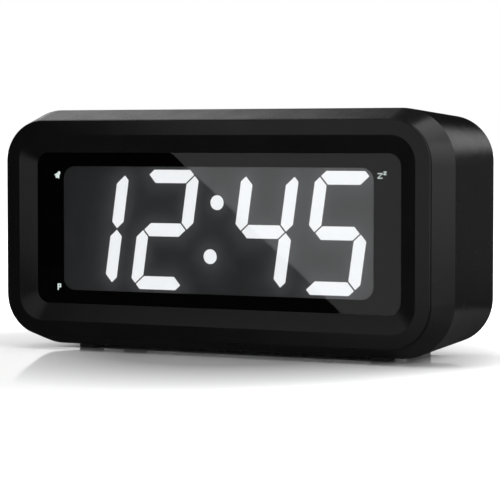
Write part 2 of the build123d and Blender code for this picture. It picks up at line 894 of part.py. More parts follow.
# Battery door, hinged on two stub pins at the ends of its lower edge
door_top = recess_top - door_gap
with BuildPart() as battery_door:
    with BuildSketch(across(0, 0, 0)):
        with Locations((hinge_depth, hinge_z)):
            Circle(barrel_radius)
        with Locations(((door_front + door_back) / 2, (hinge_z + door_top) / 2)):
            Rectangle(door_thickness, door_top - hinge_z)
    extrude(amount=door_half_width, both=True)
    with BuildSketch(across(0, hinge_depth, hinge_z)):
        Circle(pin_radius)
    extrude(amount=pin_reach, both=True)
    slit_x = (tongue_width + tongue_slit) / 2
    with BuildSketch(facing(door_back)):
        with Locations((-slit_x, door_top - tongue_length / 2), (slit_x, door_top - tongue_length / 2)):
            Rectangle(tongue_slit, tongue_length)
    extrude(amount=door_thickness, mode=Mode.SUBTRACT)
    with BuildSketch(facing(door_back - touch_gap)):
        with Locations((0, door_top - tongue_length / 2)):
            with GridLocations(0, grip_ridge_pitch, 1, grip_ridge_count):
                SlotOverall(tongue_width - 2 * tongue_slit, grip_ridge_width)
    extrude(amount=-(grip_ridge_height + touch_gap))
finish(battery_door.part, "battery_door")

# Battery contacts: a spring plate, a flat plate, and a long plate that joins the rows
contact_depth = cell_depth
spring_seat = bay_width / 2 - contact_thickness


def draw_plate(x, z, height):
    """A contact plate on an end wall of the bay, thickness towards +X."""
    with BuildSketch(across(x, contact_depth, z)) as plate:
        Rectangle(contact_size, height)
    extrude(plate.sketch, amount=contact_thickness)


def draw_spring(x, z, turn):
    """The outer shape of a wound contact spring; turn is the way it points along X."""
    with BuildSketch(across(x, contact_depth, z)) as seat:
        Circle(spring_radius)
    with BuildSketch(across(x + turn * spring_length, contact_depth, z)) as tip:
        Circle(spring_tip_radius)
    loft([seat.sketch, tip.sketch], ruled=True)


def draw_tab(z):
    """A solder tab through the left wall of the bay."""
    with BuildSketch(across(-bay_width / 2, tab_depth, z)) as tab:
        Rectangle(contact_thickness, contact_tab_width)
    extrude(tab.sketch, amount=-contact_tab_reach)


with BuildPart() as negative_contact:
    draw_plate(-bay_width / 2, upper_row_z, contact_size)
    draw_spring(-spring_seat, upper_row_z, 1)
    draw_tab(upper_row_z)
finish(negative_contact.part, "negative_contact")

with BuildPart() as positive_contact:
    draw_plate(-bay_width / 2, lower_row_z, contact_size)
    draw_tab(lower_row_z)
finish(positive_contact.part, "positive_contact")

with BuildPart() as linking_contact:
    draw_plate(spring_seat, bay_mid_z, contact_size + cell_row_pitch)
    draw_spring(spring_seat, lower_row_z, -1)
finish(linking_contact.part, "linking_contact")

# Battery cells; the upper row points right and the lower row points left
upper_start = -spring_seat + spring_length
lower_start = spring_seat - spring_length
cell_places = {
    "battery_cell_1": (upper_start, upper_row_z, 1),
    "battery_cell_2": (upper_start + cell_length, upper_row_z, 1),
    "battery_cell_3": (lower_start, lower_row_z, -1),
    "battery_cell_4": (lower_start - cell_length, lower_row_z, -1),
}
for cell_name, (start_x, cell_z, turn) in cell_places.items():
    can_length = cell_length - cell_nub_length
    with BuildPart() as battery_cell:
        with BuildSketch(across(start_x, cell_depth, cell_z)):
            Circle(cell_radius)
        extrude(amount=turn * can_length)
        fillet(battery_cell.edges(), cell_edge)
        with BuildSketch(across(start_x + turn * can_length, cell_depth, cell_z)):
            Circle(cell_nub_radius)
        extrude(amount=turn * cell_nub_length)
    finish(battery_cell.part, cell_name)

# Key board with its switches, keys and slide knobs
with BuildPart() as key_board:
    with BuildSketch(facing(key_board_front)):
        with Locations((0, key_z)):
            RectangleRounded(key_board_width, key_board_height, board_corner)
        with Locations(*key_post_places):
            Circle(through_radius, mode=Mode.SUBTRACT)
    extrude(amount=-board_thickness)
finish(key_board.part, "key_board")

switch_back = key_board_back + switch_height
with BuildPart() as key_switches:
    with BuildSketch(facing(key_board_back)):
        for key_x in key_places.values():
            with Locations((key_x, key_z)):
                Rectangle(switch_size, switch_size)
    extrude(amount=-switch_height)
    with BuildSketch(facing(switch_back)):
        for key_x in key_places.values():
            with Locations((key_x, key_z)):
                Circle(plunger_radius + plunger_clearance)
    extrude(amount=plunger_sink + key_travel + slip, mode=Mode.SUBTRACT)
finish(key_switches.part, "key_switches")

key_seat = switch_back + plunger_proud
for key_name, key_x in key_places.items():
    with BuildPart() as key_cap:
        with BuildSketch(facing(cover_seat - key_flange_thickness)):
            with Locations((key_x, key_z)):
                SlotOverall(key_length, key_height)
        extrude(amount=-(key_flange_thickness + cover_thickness + key_proud))
        fillet(key_cap.faces().sort_by(Axis.Y)[-1].edges(), key_edge)
        with BuildSketch(facing(cover_seat - key_flange_thickness)):
            with Locations((key_x, key_z)):
                SlotOverall(key_length + 2 * key_flange, key_height + 2 * key_flange)
        extrude(amount=-key_flange_thickness)
        with BuildSketch(facing(key_seat)):
            with Locations((key_x, key_z)):
                Circle(key_stem_radius)
        extrude(amount=-key_stem_length)
    finish(key_cap.part, key_name)
    with BuildPart() as key_plunger:
        with BuildSketch(facing(switch_back - plunger_sink)):
            with Locations((key_x, key_z)):
                Circle(plunger_radius)
        extrude(amount=-(plunger_sink + plunger_proud))
    finish(key_plunger.part, f"{key_name}_plunger")

slide_back = key_board_back + slide_body_depth
slider_shift = -slider_travel / 2
slider_flange_back = cover_seat - slip
for slide_name, slide_x in slider_places.items():
    with BuildPart() as slide_switch:
        with BuildSketch(facing(key_board_back)):
            with Locations((slide_x, key_z)):
                Rectangle(slide_body_length, slide_body_height)
        extrude(amount=-slide_body_depth)
        with BuildSketch(facing(slide_back)):
            with Locations((slide_x, key_z)):
                Rectangle(slider_lever_length + slider_travel + 2 * gap, slider_lever_height + 2 * gap)
        extrude(amount=slide_slot_depth, mode=Mode.SUBTRACT)
    finish(slide_switch.part, f"{slide_name}_slide_switch")
    with BuildPart() as slide_knob:
        knob_x = slide_x + slider_shift
        with BuildSketch(facing(slide_back - slider_lever_sink)):
            with Locations((knob_x, key_z)):
                Rectangle(slider_lever_length, slider_lever_height)
        extrude(amount=-(slider_flange_back - slide_back + slider_lever_sink))
        with BuildSketch(facing(slider_flange_back - slider_flange_thickness)):
            with Locations((knob_x, key_z)):
                Rectangle(slider_flange_length, slider_flange_height)
        extrude(amount=-slider_flange_thickness)
        with BuildSketch(facing(slider_flange_back)):
            with Locations((knob_x, key_z)):
                Rectangle(slider_length, slider_height)
        extrude(amount=-(cover_face + key_proud - slider_flange_back))
        with BuildSketch(facing(cover_face + key_proud)):
            with Locations((knob_x, key_z)):
                with GridLocations(slider_groove_pitch, 0, 3, 1):
                    Rectangle(slider_groove_width, slider_height)
        extrude(amount=slider_groove_depth, mode=Mode.SUBTRACT)
    finish(slide_knob.part, f"{slide_name}_slide_knob")

# Sounder on the back of the main board, with the sound opening in its cap
buzzer_back = main_board_back + buzzer_depth
with BuildPart() as buzzer:
    with BuildSketch(facing(main_board_back)):
        with Locations((buzzer_x, buzzer_z)):
            Circle(buzzer_radius)
    extrude(amount=-buzzer_depth)
    fillet(buzzer.edges().group_by(Axis.Y)[-1], buzzer_edge)
    with BuildSketch(facing(buzzer_back)):
        with Locations((buzzer_x, buzzer_z)):
            Circle(buzzer_bore)
    extrude(amount=buzzer_bore_depth, mode=Mode.SUBTRACT)
finish(buzzer.part, "buzzer")

# Snooze bar, its stem, and the switch that it presses
snooze_switch_bottom = snooze_switch_top - snooze_switch_height
plunger_top = snooze_switch_top + snooze_plunger_proud
stem_shift = snooze_stem_depth - snooze_depth
flange_bottom = wall + snooze_flange_thickness
stem_start_z = snooze_top - stem_shift * sin(top_slope) - flange_bottom * cos(top_slope)
stem_length = (stem_start_z - plunger_top) / cos(top_slope) - touch_gap
snooze_switch_plane = Plane.XY.offset(mid_z + snooze_switch_top)

with BuildPart() as snooze_bar:
    with BuildSketch(snooze_plane.offset(-flange_bottom)):
        SlotOverall(snooze_length, snooze_width)
    extrude(amount=flange_bottom + snooze_proud)
    fillet(snooze_bar.faces().sort_by(Axis.Z)[-1].edges(), snooze_edge)
    with BuildSketch(snooze_plane.offset(-flange_bottom)):
        SlotOverall(snooze_length + 2 * snooze_flange, snooze_width + 2 * snooze_flange)
    extrude(amount=snooze_flange_thickness)
    with BuildSketch(snooze_plane.offset(-flange_bottom)):
        with Locations((0, stem_shift)):
            Circle(snooze_stem_radius)
    extrude(amount=-stem_length)
finish(snooze_bar.part, "snooze_bar")

with BuildPart() as snooze_switch:
    with BuildSketch(facing(main_board_back)):
        with Locations((0, (snooze_switch_top + snooze_switch_bottom) / 2)):
            Rectangle(snooze_switch_width, snooze_switch_height)
    extrude(amount=-snooze_switch_depth)
    with BuildSketch(snooze_switch_plane):
        with Locations((0, front_y + snooze_stem_depth)):
            Circle(plunger_radius + plunger_clearance)
    extrude(amount=-(snooze_plunger_sink + snooze_travel + slip), mode=Mode.SUBTRACT)
finish(snooze_switch.part, "snooze_switch")

with BuildPart() as snooze_plunger:
    with BuildSketch(snooze_switch_plane.offset(-snooze_plunger_sink)):
        with Locations((0, front_y + snooze_stem_depth)):
            Circle(plunger_radius)
    extrude(amount=snooze_plunger_sink + snooze_plunger_proud)
finish(snooze_plunger.part, "snooze_plunger")

# Ribbon cable between a plug on each board
plug_places = {"main_plug": main_board_back, "key_plug": key_board_front - plug_depth}
for plug_name, plug_front in plug_places.items():
    with BuildPart() as ribbon_plug:
        with BuildSketch(facing(plug_front)):
            with Locations((ribbon_x, key_z)):
                Rectangle(plug_width, plug_height)
        extrude(amount=-plug_depth)
    finish(ribbon_plug.part, plug_name)

ribbon_start = main_board_back + plug_depth
ribbon_end = key_board_front - plug_depth
ribbon_run = (ribbon_end - ribbon_start) / 4
ribbon_points = [
    (ribbon_start, key_z),
    (ribbon_start + ribbon_run, key_z),
    (ribbon_start + 2 * ribbon_run, key_z - ribbon_sag),
    (ribbon_end - ribbon_run, key_z),
    (ribbon_end, key_z),
]
with BuildPart() as ribbon_cable:
    with BuildSketch(across(ribbon_x)):
        with BuildLine():
            FilletPolyline(*ribbon_points, radius=ribbon_run * ribbon_bend_share)
        trace(line_width=ribbon_thickness)
    extrude(amount=ribbon_width / 2, both=True)
finish(ribbon_cable.part, "ribbon_cable")

# Battery leads from the solder tabs forward to the main board
lead_x = -bay_width / 2 - (bay_wall + contact_tab_reach) / 2
lead_start = tab_depth - contact_thickness / 2
lead_run = (lead_start - main_board_back) / 4


def draw_lead(z, bow):
    """One insulated lead; it bows up or down on its way to the board."""
    with BuildLine() as route:
        FilletPolyline(
            place(lead_x, lead_start, z),
            place(lead_x, lead_start - lead_run, z),
            place(lead_x, main_board_back + lead_run, z + bow),
            place(lead_x, main_board_back, z + bow),
            radius=lead_bend,
        )
    with BuildSketch(Plane(origin=place(lead_x, lead_start, z), z_dir=(0, -1, 0))) as section:
        Circle(lead_radius)
    sweep(section.sketch, path=route.line)


with BuildPart() as battery_leads:
    draw_lead(upper_row_z, lead_bow)
    draw_lead(lower_row_z, -lead_bow)
finish(battery_leads.part, "battery_leads")

# Screws, one node for each set
with BuildPart() as bezel_screws:
    draw_screws(
        facing(skirt_depth + lug_thickness),
        mirrored_places(bezel_screw_x, bezel_screw_z),
        short_screw_length,
        1,
    )
finish(bezel_screws.part, "bezel_screws")

with BuildPart() as display_screws:
    draw_screws(facing(main_board_back), display_screw_places, short_screw_length, 1)
finish(display_screws.part, "display_screws")

with BuildPart() as cover_screws:
    draw_screws(
        facing(cover_face - screw_head_height),
        boss_places,
        case_screw_length - overrun,
        1,
    )
finish(cover_screws.part, "cover_screws")

with BuildPart() as key_board_screws:
    draw_screws(facing(key_board_front), key_post_places, short_screw_length, -1)
finish(key_board_screws.part, "key_board_screws")

# Rubber feet
for foot_name, (foot_across, foot_depth) in foot_places.items():
    with BuildPart() as foot:
        with BuildSketch():
            with Locations((foot_across, front_y + foot_depth)):
                RectangleRounded(foot_width, foot_length, foot_corner)
        extrude(amount=foot_top(foot_depth))
        chamfer(foot.faces().sort_by(Axis.Z)[0].edges(), foot_edge)
    finish(foot.part, foot_name)
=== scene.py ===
# %% [markdown]
# # A digital desk clock
# The clock is a black plastic case, wider than it is high, with a sunken smoked lens and
# four white digits behind it. Its solids come from the CAD frame, already at their real
# sizes. This script gives every one of them a finish, models the small pieces that need
# more detail, and sets up a plain white studio around the clock.

# %% The frame
import json
import math

import bpy
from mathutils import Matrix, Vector


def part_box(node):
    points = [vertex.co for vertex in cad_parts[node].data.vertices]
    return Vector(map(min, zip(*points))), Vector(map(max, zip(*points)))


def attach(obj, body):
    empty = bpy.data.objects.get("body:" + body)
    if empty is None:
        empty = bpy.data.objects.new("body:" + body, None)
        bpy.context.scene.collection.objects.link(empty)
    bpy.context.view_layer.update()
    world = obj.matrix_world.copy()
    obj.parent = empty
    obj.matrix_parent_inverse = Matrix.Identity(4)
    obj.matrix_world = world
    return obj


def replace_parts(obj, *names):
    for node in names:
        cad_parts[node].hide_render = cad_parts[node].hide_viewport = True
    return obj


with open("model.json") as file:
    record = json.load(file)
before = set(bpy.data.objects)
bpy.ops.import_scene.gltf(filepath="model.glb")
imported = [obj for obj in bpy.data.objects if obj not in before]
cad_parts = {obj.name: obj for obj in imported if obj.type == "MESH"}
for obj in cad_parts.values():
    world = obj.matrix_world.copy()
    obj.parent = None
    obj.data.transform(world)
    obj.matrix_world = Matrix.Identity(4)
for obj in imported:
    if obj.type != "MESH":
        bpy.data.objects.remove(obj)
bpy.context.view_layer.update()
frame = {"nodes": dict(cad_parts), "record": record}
nodes = frame["nodes"]

# %% [markdown]
# ## Working by hand, in code
# Blender works in metres, and a clock is easier to think of in millimetres, so sizes are
# written in millimetres and scaled by MM. An operator acts on everything that is selected,
# and the imported solids start selected. So settle() leaves edit mode and clears the
# selection before each new piece, and pick() then selects faces or edges by their place
# or direction, as one would click on them with the mouse.

# %% Units and selection
MM = 0.001


def settle(*pieces):
    """Leave edit mode, and select only the given pieces."""
    if bpy.context.mode != "OBJECT":
        bpy.ops.object.mode_set(mode="OBJECT")
    bpy.ops.object.select_all(action="DESELECT")
    for piece in pieces:
        piece.select_set(True)
        bpy.context.view_layer.objects.active = piece


def pick(piece, kind, test):
    """Select the faces or edges that pass a test(middle, direction), in edit mode."""
    settle(piece)
    bpy.ops.object.mode_set(mode="EDIT")
    bpy.ops.mesh.select_mode(type=kind)
    bpy.ops.mesh.select_all(action="DESELECT")
    bpy.ops.object.mode_set(mode="OBJECT")
    if kind == "FACE":
        for face in piece.data.polygons:
            face.select = bool(test(face.center / MM, face.normal))
    else:
        points = piece.data.vertices
        for edge in piece.data.edges:
            start, end = (points[i].co for i in edge.vertices)
            edge.select = bool(test((start + end) / 2 / MM, (end - start).normalized()))
    bpy.ops.object.mode_set(mode="EDIT")


def node_box(name):
    """The lowest and highest corner of a solid of the frame, in millimetres."""
    low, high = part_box(name)
    return low / MM, high / MM


settle()
case_low, case_high = node_box("main_housing")
print("case from", [round(v, 2) for v in case_low], "to", [round(v, 2) for v in case_high])

# %% [markdown]
# ## Starting shapes
# Every new piece starts as a primitive at its size and place. transform_apply then puts
# the object's origin at the middle of the table under the clock, as the frame's solids
# have it, so that a pattern drawn in object coordinates means the same place on all. An
# edge of a moulded or stamped piece is never quite sharp, so edges are bevelled, and it
# is the bevel that catches the light.

# %% Blocks and rods
AXIS_TURN = {"x": (0, math.pi / 2, 0), "y": (math.pi / 2, 0, 0), "z": (0, 0, 0)}


def named(name):
    """Name the primitive that was just added, with its place and size in its mesh."""
    bpy.ops.object.transform_apply(location=True, rotation=True, scale=True)
    piece = bpy.context.object
    piece.name = piece.data.name = name
    return piece


def add_block(name, low, high):
    """A block that fills the box between two corners."""
    settle()
    low, high = Vector(low), Vector(high)
    bpy.ops.mesh.primitive_cube_add(size=1, location=(low + high) / 2 * MM)
    bpy.context.object.scale = (high - low) * MM
    return named(name)


def add_rod(name, middle, radius, length, axis, sides):
    """A round rod about its middle, along one of the axes."""
    settle()
    bpy.ops.mesh.primitive_cylinder_add(
        vertices=sides,
        radius=radius * MM,
        depth=length * MM,
        location=Vector(middle) * MM,
        rotation=AXIS_TURN[axis],
    )
    return named(name)


def add_ring(middle, radius, line, axis, line_steps):
    """A torus round an axis, not named yet; its line is its own section's radius."""
    settle()
    bpy.ops.mesh.primitive_torus_add(
        major_radius=radius * MM,
        minor_radius=line * MM,
        major_segments=40,
        minor_segments=line_steps,
        location=Vector(middle) * MM,
        rotation=AXIS_TURN[axis],
    )
    return bpy.context.object


def placed(piece, turn, place):
    """Turn a piece about the origin, move it, and keep both in its mesh."""
    settle(piece)
    piece.rotation_euler = turn
    piece.location = Vector(place) * MM
    bpy.ops.object.transform_apply(location=True, rotation=True, scale=True)
    return piece


# %% Edges and shading
def along(axis):
    """A test for edges that run along an axis."""
    return lambda middle, way: abs(getattr(way, axis)) > 0.9


def round_edges(piece, width, segments, test):
    """Bevel the edges that pass a test."""
    pick(piece, "EDGE", test)
    bpy.ops.mesh.bevel(offset=width * MM, segments=segments, affect="EDGES")
    settle(piece)


def smooth(piece, angle=35):
    """Shade smoothly across edges that turn less than an angle, in degrees."""
    settle(piece)
    bpy.ops.object.shade_smooth_by_angle(angle=math.radians(angle))


# %% [markdown]
# ## Nodes for the finishes
# A finish could be a picture wrapped round the piece, but a picture needs unwrapping and
# blurs close by. These finishes are drawn by nodes instead: a Principled BSDF whose even
# values sit on its own sockets, with noise that reads Object coordinates for what varies,
# such as grain and cloudiness. These helpers keep each recipe short enough to read.

# %% Material helpers
finishes = {}
NOISE_SPAN = (0.3, 0.7)  # nearly all of a noise texture lies between these


def grey(level):
    return (level, level, level)


def shader_of(material):
    return material.node_tree.nodes["Principled BSDF"]


def finish(name, colour, roughness, **sockets):
    """A material with its even values on the shader's own sockets."""
    material = finishes[name] = bpy.data.materials.new(name)
    material.use_nodes = True
    shader = shader_of(material)
    shader.inputs["Base Color"].default_value = (*colour, 1)
    shader.inputs["Roughness"].default_value = roughness
    for label, value in sockets.items():
        shader.inputs[label.replace("_", " ")].default_value = value
    return material


def wire(material, kind, settings=None, **attributes):
    """Add a node; a setting that is another node's output is linked."""
    made = material.node_tree.nodes.new(kind)
    for label, value in attributes.items():
        setattr(made, label, value)
    for label, value in (settings or {}).items():
        if isinstance(value, bpy.types.NodeSocket):
            material.node_tree.links.new(value, made.inputs[label])
        else:
            made.inputs[label].default_value = value
    return made


def feed(material, label, output):
    """Link a node's output to one of the shader's sockets."""
    material.node_tree.links.new(output, shader_of(material).inputs[label])


# %% Values from nodes
def object_place(material):
    """Where a point lies on its own object."""
    return wire(material, "ShaderNodeTexCoord").outputs["Object"]


def maths(material, operation, first, second):
    """One value worked out from two."""
    made = wire(material, "ShaderNodeMath", {0: first, 1: second}, operation=operation)
    return made.outputs[0]


def carried(material, value, source, target, **attributes):
    """A value carried from one (low, high) span to another, and kept inside it."""
    settings = {
        "Value": value,
        "From Min": source[0],
        "From Max": source[1],
        "To Min": target[0],
        "To Max": target[1],
    }
    return wire(material, "ShaderNodeMapRange", settings, **attributes).outputs["Result"]


def clouds(material, per_metre, low, high, detail=3.0, stretch=(1, 1, 1)):
    """Soft noise on object coordinates, spread between two values."""
    settings = {"Vector": object_place(material), "Scale": stretch}
    mapped = wire(material, "ShaderNodeMapping", settings).outputs["Vector"]
    settings = {"Vector": mapped, "Scale": per_metre, "Detail": detail}
    noise = wire(material, "ShaderNodeTexNoise", settings).outputs["Fac"]
    return carried(material, noise, NOISE_SPAN, (low, high))


def tint(material, low_colour, high_colour, share):
    """Colour the surface between two colours by a cloudy share."""
    ramp = wire(material, "ShaderNodeValToRGB", {"Fac": share})
    ramp.color_ramp.elements[0].color = (*low_colour, 1)
    ramp.color_ramp.elements[1].color = (*high_colour, 1)
    feed(material, "Base Color", ramp.outputs["Color"])


def grain(material, height, depth):
    """Bump from a height pattern, depth in millimetres."""
    settings = {"Height": height, "Distance": depth * MM, "Strength": 1.0}
    bump = wire(material, "ShaderNodeBump", settings)
    feed(material, "Normal", bump.outputs["Normal"])


# %% [markdown]
# ## Moulded plastic
# The case is injection moulded: satin black, with the very fine even texture that the
# mould is etched with, and gloss that drifts a little from place to place. The texture is
# far too fine to model, so it is bump. One recipe serves all the moulded parts, each with
# its own black, gloss and texture size.

# %% Moulded plastics
PATCHES, GLOSS_PATCHES = 45, 110  # per metre: how fast the colour and the gloss drift


def moulded(name, dark, light, roughness, texture_per_metre, texture_depth, ior=1.5):
    """Plastic between two colours, with etched texture of a size and depth."""
    material = finish(name, dark, roughness, IOR=ior)
    tint(material, dark, light, clouds(material, PATCHES, 0, 1))
    drift = clouds(material, GLOSS_PATCHES, roughness * 0.9, roughness * 1.12)
    feed(material, "Roughness", drift)
    grain(material, clouds(material, texture_per_metre, 0, 1, detail=1.0), texture_depth)
    return material


# Darkest and lightest colour, roughness, texture per metre, its depth in millimetres
moulded("case_black", grey(0.0026), (0.004, 0.004, 0.0041), 0.25, 2600, 0.004)
moulded("bezel_black", grey(0.0028), grey(0.0042), 0.24, 2600, 0.003, ior=1.38)
cover_black = moulded("cover_black", grey(0.011), grey(0.016), 0.4, 1500, 0.02)
key_black = moulded("key_black", grey(0.014), grey(0.021), 0.33, 2200, 0.006)
moulded("switch_black", grey(0.012), grey(0.02), 0.4, 2000, 0.01)
moulded("buzzer_black", grey(0.01), grey(0.018), 0.36, 1600, 0.01)
foot_rubber = moulded("foot_rubber", grey(0.03), grey(0.05), 0.75, 1300, 0.03)
moulded("plunger_plastic", (0.5, 0.49, 0.45), (0.6, 0.59, 0.55), 0.4, 1800, 0.01)
moulded("plug_white", (0.62, 0.6, 0.54), (0.72, 0.7, 0.64), 0.38, 1800, 0.01)
print("plastics:", ", ".join(finishes))

# %% [markdown]
# ## The display's finishes
# Behind the lens lie the black printed border, the grey face of the reflector and the
# resin bars. The lit bars are white resin with lamps behind them, so they give out light
# of their own, a little uneven as each lamp is brightest in the middle of its bar. Real
# lamps behind each bar would take long to render and flicker with noise, so the resin
# itself glows. The bars that are off have the grey of the reflector, and so can't be told
# from it.

# %% Display materials
window_dark, window_light = (0.032, 0.0325, 0.034), (0.037, 0.0378, 0.0395)
mask_print = finish("mask_print", grey(0.0006), 0.5, Specular_IOR_Level=0.0)
tint(mask_print, grey(0.0004), grey(0.0008), clouds(mask_print, 300, 0, 1))


def display_face(name):
    """Grey resin under a glossy smoke foil, which mirrors as the lens does."""
    sockets = {"Specular_IOR_Level": 0.1, "Coat_Weight": 1.0, "Coat_Roughness": 0.015}
    material = finish(name, window_dark, 0.5, **sockets)
    tint(material, window_dark, window_light, clouds(material, 60, 0, 1))
    feed(material, "Roughness", clouds(material, 300, 0.45, 0.6))
    return material


def lit(name, colour, strength, body):
    """Resin that glows, a little brighter in some places than in others."""
    material = finish(name, [body * c for c in colour], 0.35)
    shader_of(material).inputs["Emission Color"].default_value = (*colour, 1)
    uneven = clouds(material, 90, strength * 0.985, strength * 1.015)
    feed(material, "Emission Strength", uneven)
    return material


display_face("reflector_grey")
display_face("dark_bar_resin")
lit("lit_resin", (0.97, 0.985, 1.0), strength=1.0, body=0.2)
print("the window's grey:", window_dark, "to", window_light)

# %% [markdown]
# ## Glowing signs
# Each sign is the raised end of a small light guide. Its face fills a hole in the printed
# border, and the rest of the guide lies deep behind it. If the whole guide glowed, the
# hole's walls would shine too, so the glow starts at a depth that lies between the two.

# %% Sign material
sign_glow, sign_root = 0.92, -21.5 * MM
sign_resin = finish("sign_resin", (0.02, 0.03, 0.027), 0.35)
shader_of(sign_resin).inputs["Emission Color"].default_value = (0.84, 0.95, 0.91, 1)
depth = wire(sign_resin, "ShaderNodeSeparateXYZ", {0: object_place(sign_resin)}).outputs["Y"]
raised = maths(sign_resin, "LESS_THAN", depth, sign_root)
uneven = clouds(sign_resin, 200, sign_glow * 0.9, sign_glow * 1.1)
feed(sign_resin, "Emission Strength", maths(sign_resin, "MULTIPLY", raised, uneven))
print("signs glow in front of y", round(sign_root / MM, 1), "mm")

# %% [markdown]
# ## Lens material
# The lens is a lightly smoked acrylic sheet, 1.2 mm thick. A cheap way would be a glossy
# black surface with the digits drawn on it. It is a real transparent body here, because
# the eye reads its thickness from how the border seems to float behind its face.

# %% Smoked lens material
smoked_lens = finish(
    "smoked_lens", (0.86, 0.865, 0.87), 0.0, IOR=1.49, Transmission_Weight=1.0
)
feed(smoked_lens, "Roughness", clouds(smoked_lens, 25, 0.0, 0.012))

# %% [markdown]
# ## Metals
# Nickel and steel are bright metals with a soft streak across them from rolling or
# plating. The streaks are noise stretched along one axis, which serves as well as a
# brushed picture and needs no unwrapping.

# %% Metals
LONG_STREAKS = (0.1, 1, 1)


def metal(name, colour, roughness, stretch=(1, 1, 1)):
    """Metal with streaks that are stretched along the axis of a small number."""
    material = finish(name, colour, roughness, Metallic=1.0)
    streaks = clouds(material, 900, 0, 1, stretch=stretch)
    tint(material, [0.86 * c for c in colour], colour, streaks)
    drift = clouds(material, 400, roughness * 0.8, roughness * 1.25, stretch=stretch)
    feed(material, "Roughness", drift)
    grain(material, streaks, 0.004)
    return material


screw_steel = metal("screw_steel", (0.42, 0.42, 0.43), 0.3)
nickel_contact = metal("nickel_contact", (0.66, 0.64, 0.6), 0.24, LONG_STREAKS)
metal("bright_metal", (0.72, 0.72, 0.73), 0.2, LONG_STREAKS)
print("metals: steel screws, nickel contacts, bright cans")

# %% [markdown]
# ## Boards, chips and leads
# The boards have green solder mask with copper tracks just visible under it. A brick
# pattern with long low bricks and thin joints gives such tracks without drawing a single
# one. The ribbon cable is ten wires side by side, and a wave pattern gives it one ridge
# for each wire.

# %% Inner materials
wire_pitch = 1.27 * MM
waves_per_scale = 20 / (2 * math.pi)  # a wave texture's bands per metre, at scale 1


def board(name):
    """Green solder mask with tracks that show through it."""
    material = finish(name, (0.01, 0.11, 0.045), 0.3, Coat_Weight=0.3)
    settings = {"Vector": object_place(material), "Rotation": (math.pi / 2, 0, 0)}
    pattern = {
        "Vector": wire(material, "ShaderNodeMapping", settings).outputs["Vector"],
        "Color1": (0.008, 0.1, 0.04, 1),
        "Color2": (0.012, 0.125, 0.05, 1),
        "Mortar": (0.05, 0.24, 0.08, 1),
        "Scale": 160,
        "Mortar Size": 0.045,
        "Brick Width": 1.4,
        "Row Height": 0.35,
    }
    tracks = wire(material, "ShaderNodeTexBrick", pattern)
    feed(material, "Base Color", tracks.outputs["Color"])
    grain(material, tracks.outputs["Fac"], 0.03)
    return material


board("board_green")
moulded("lamp_chip", (0.75, 0.68, 0.42), (0.85, 0.78, 0.5), 0.3, 2500, 0.004)
moulded("chip_black", grey(0.014), grey(0.022), 0.55, 3000, 0.01)
moulded("capacitor_sleeve", (0.01, 0.012, 0.05), (0.014, 0.018, 0.07), 0.3, 900, 0.004)
moulded("lead_red", (0.42, 0.012, 0.01), (0.5, 0.02, 0.014), 0.4, 800, 0.004)
ribbon_grey = moulded("ribbon_grey", (0.3, 0.3, 0.31), (0.36, 0.36, 0.37), 0.5, 900, 0.006)
settings = {"Vector": object_place(ribbon_grey), "Scale": 1 / wire_pitch / waves_per_scale}
grain(ribbon_grey, wire(ribbon_grey, "ShaderNodeTexWave", settings).outputs["Fac"], 0.25)
cell_sleeve = moulded("cell_sleeve", (0.02, 0.021, 0.023), (0.03, 0.031, 0.034), 0.3, 500, 0.003)
print(len(finishes), "finishes so far")

# %% [markdown]
# ## Dressing the solids
# Each solid names its material slot in the record. The slots that the whole object shares
# are matched here by name, and the few that need another look are listed. The
# solids keep their own smooth normals, so they aren't shaded again.

# %% A finish for every solid
slot_of = {part["node"]: part["material_slot"] for part in frame["record"]["subparts"]}
special = {"rear_cover": cover_black, "battery_door": cover_black}
for name, solid in nodes.items():
    solid.data.materials.clear()
    solid.data.materials.append(special.get(name) or finishes[slot_of[name]])
print(len(nodes), "solids dressed in", len(set(slot_of.values())), "finishes")

# %% [markdown]
# ## The lens piece
# The acrylic sheet is a block whose four corners are rounded with a wide bevel. Its back
# reaches a hair into the printed border, as ink has no gap to the sheet: where it is
# printed, the back of the sheet gives no second reflection, and in the window it does. It
# casts no shadow of its own, so that lamps light the display through it.

# %% Lens
lens_low, lens_high = node_box("front_lens")
lens_corner, lens_corner_steps, ink_sink = 5.2, 12, 0.02
lens = add_block("display_lens", lens_low, lens_high + Vector((0, ink_sink, 0)))
round_edges(lens, lens_corner, lens_corner_steps, along("y"))
smooth(lens)
lens.data.materials.append(smoked_lens)
lens.visible_shadow = False
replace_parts(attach(lens, "case"), "front_lens")
print("lens faces:", len(lens.data.polygons))

# %% [markdown]
# ## Painted halo round the lit bars
# A thin sheet behind the window gives out light of its own: a painted halo round every lit
# bar, where a smoke foil would scatter a little of the digits' light. Fog in the gap would
# give a real halo and render slowly. The sheet is cut into small squares by bisecting it.
# Each corner of a square keeps, as an attribute of the mesh, a share that falls off with
# its distance from the nearest lit bar, and the sheet glows and is as opaque as that share.

# %% Foil material
# Painted light: the sheet glows in the digits' colour wherever the halo attribute lets it show.
painted_halo_foil = finish("painted_halo_foil", grey(0.0), 0.6, Specular_IOR_Level=0.0)
shader_of(painted_halo_foil).inputs["Emission Color"].default_value = (0.93, 0.96, 1.0, 1)
shader_of(painted_halo_foil).inputs["Emission Strength"].default_value = 1.0
feed(painted_halo_foil, "Alpha", wire(painted_halo_foil, "ShaderNodeAttribute", attribute_name="halo").outputs["Fac"])

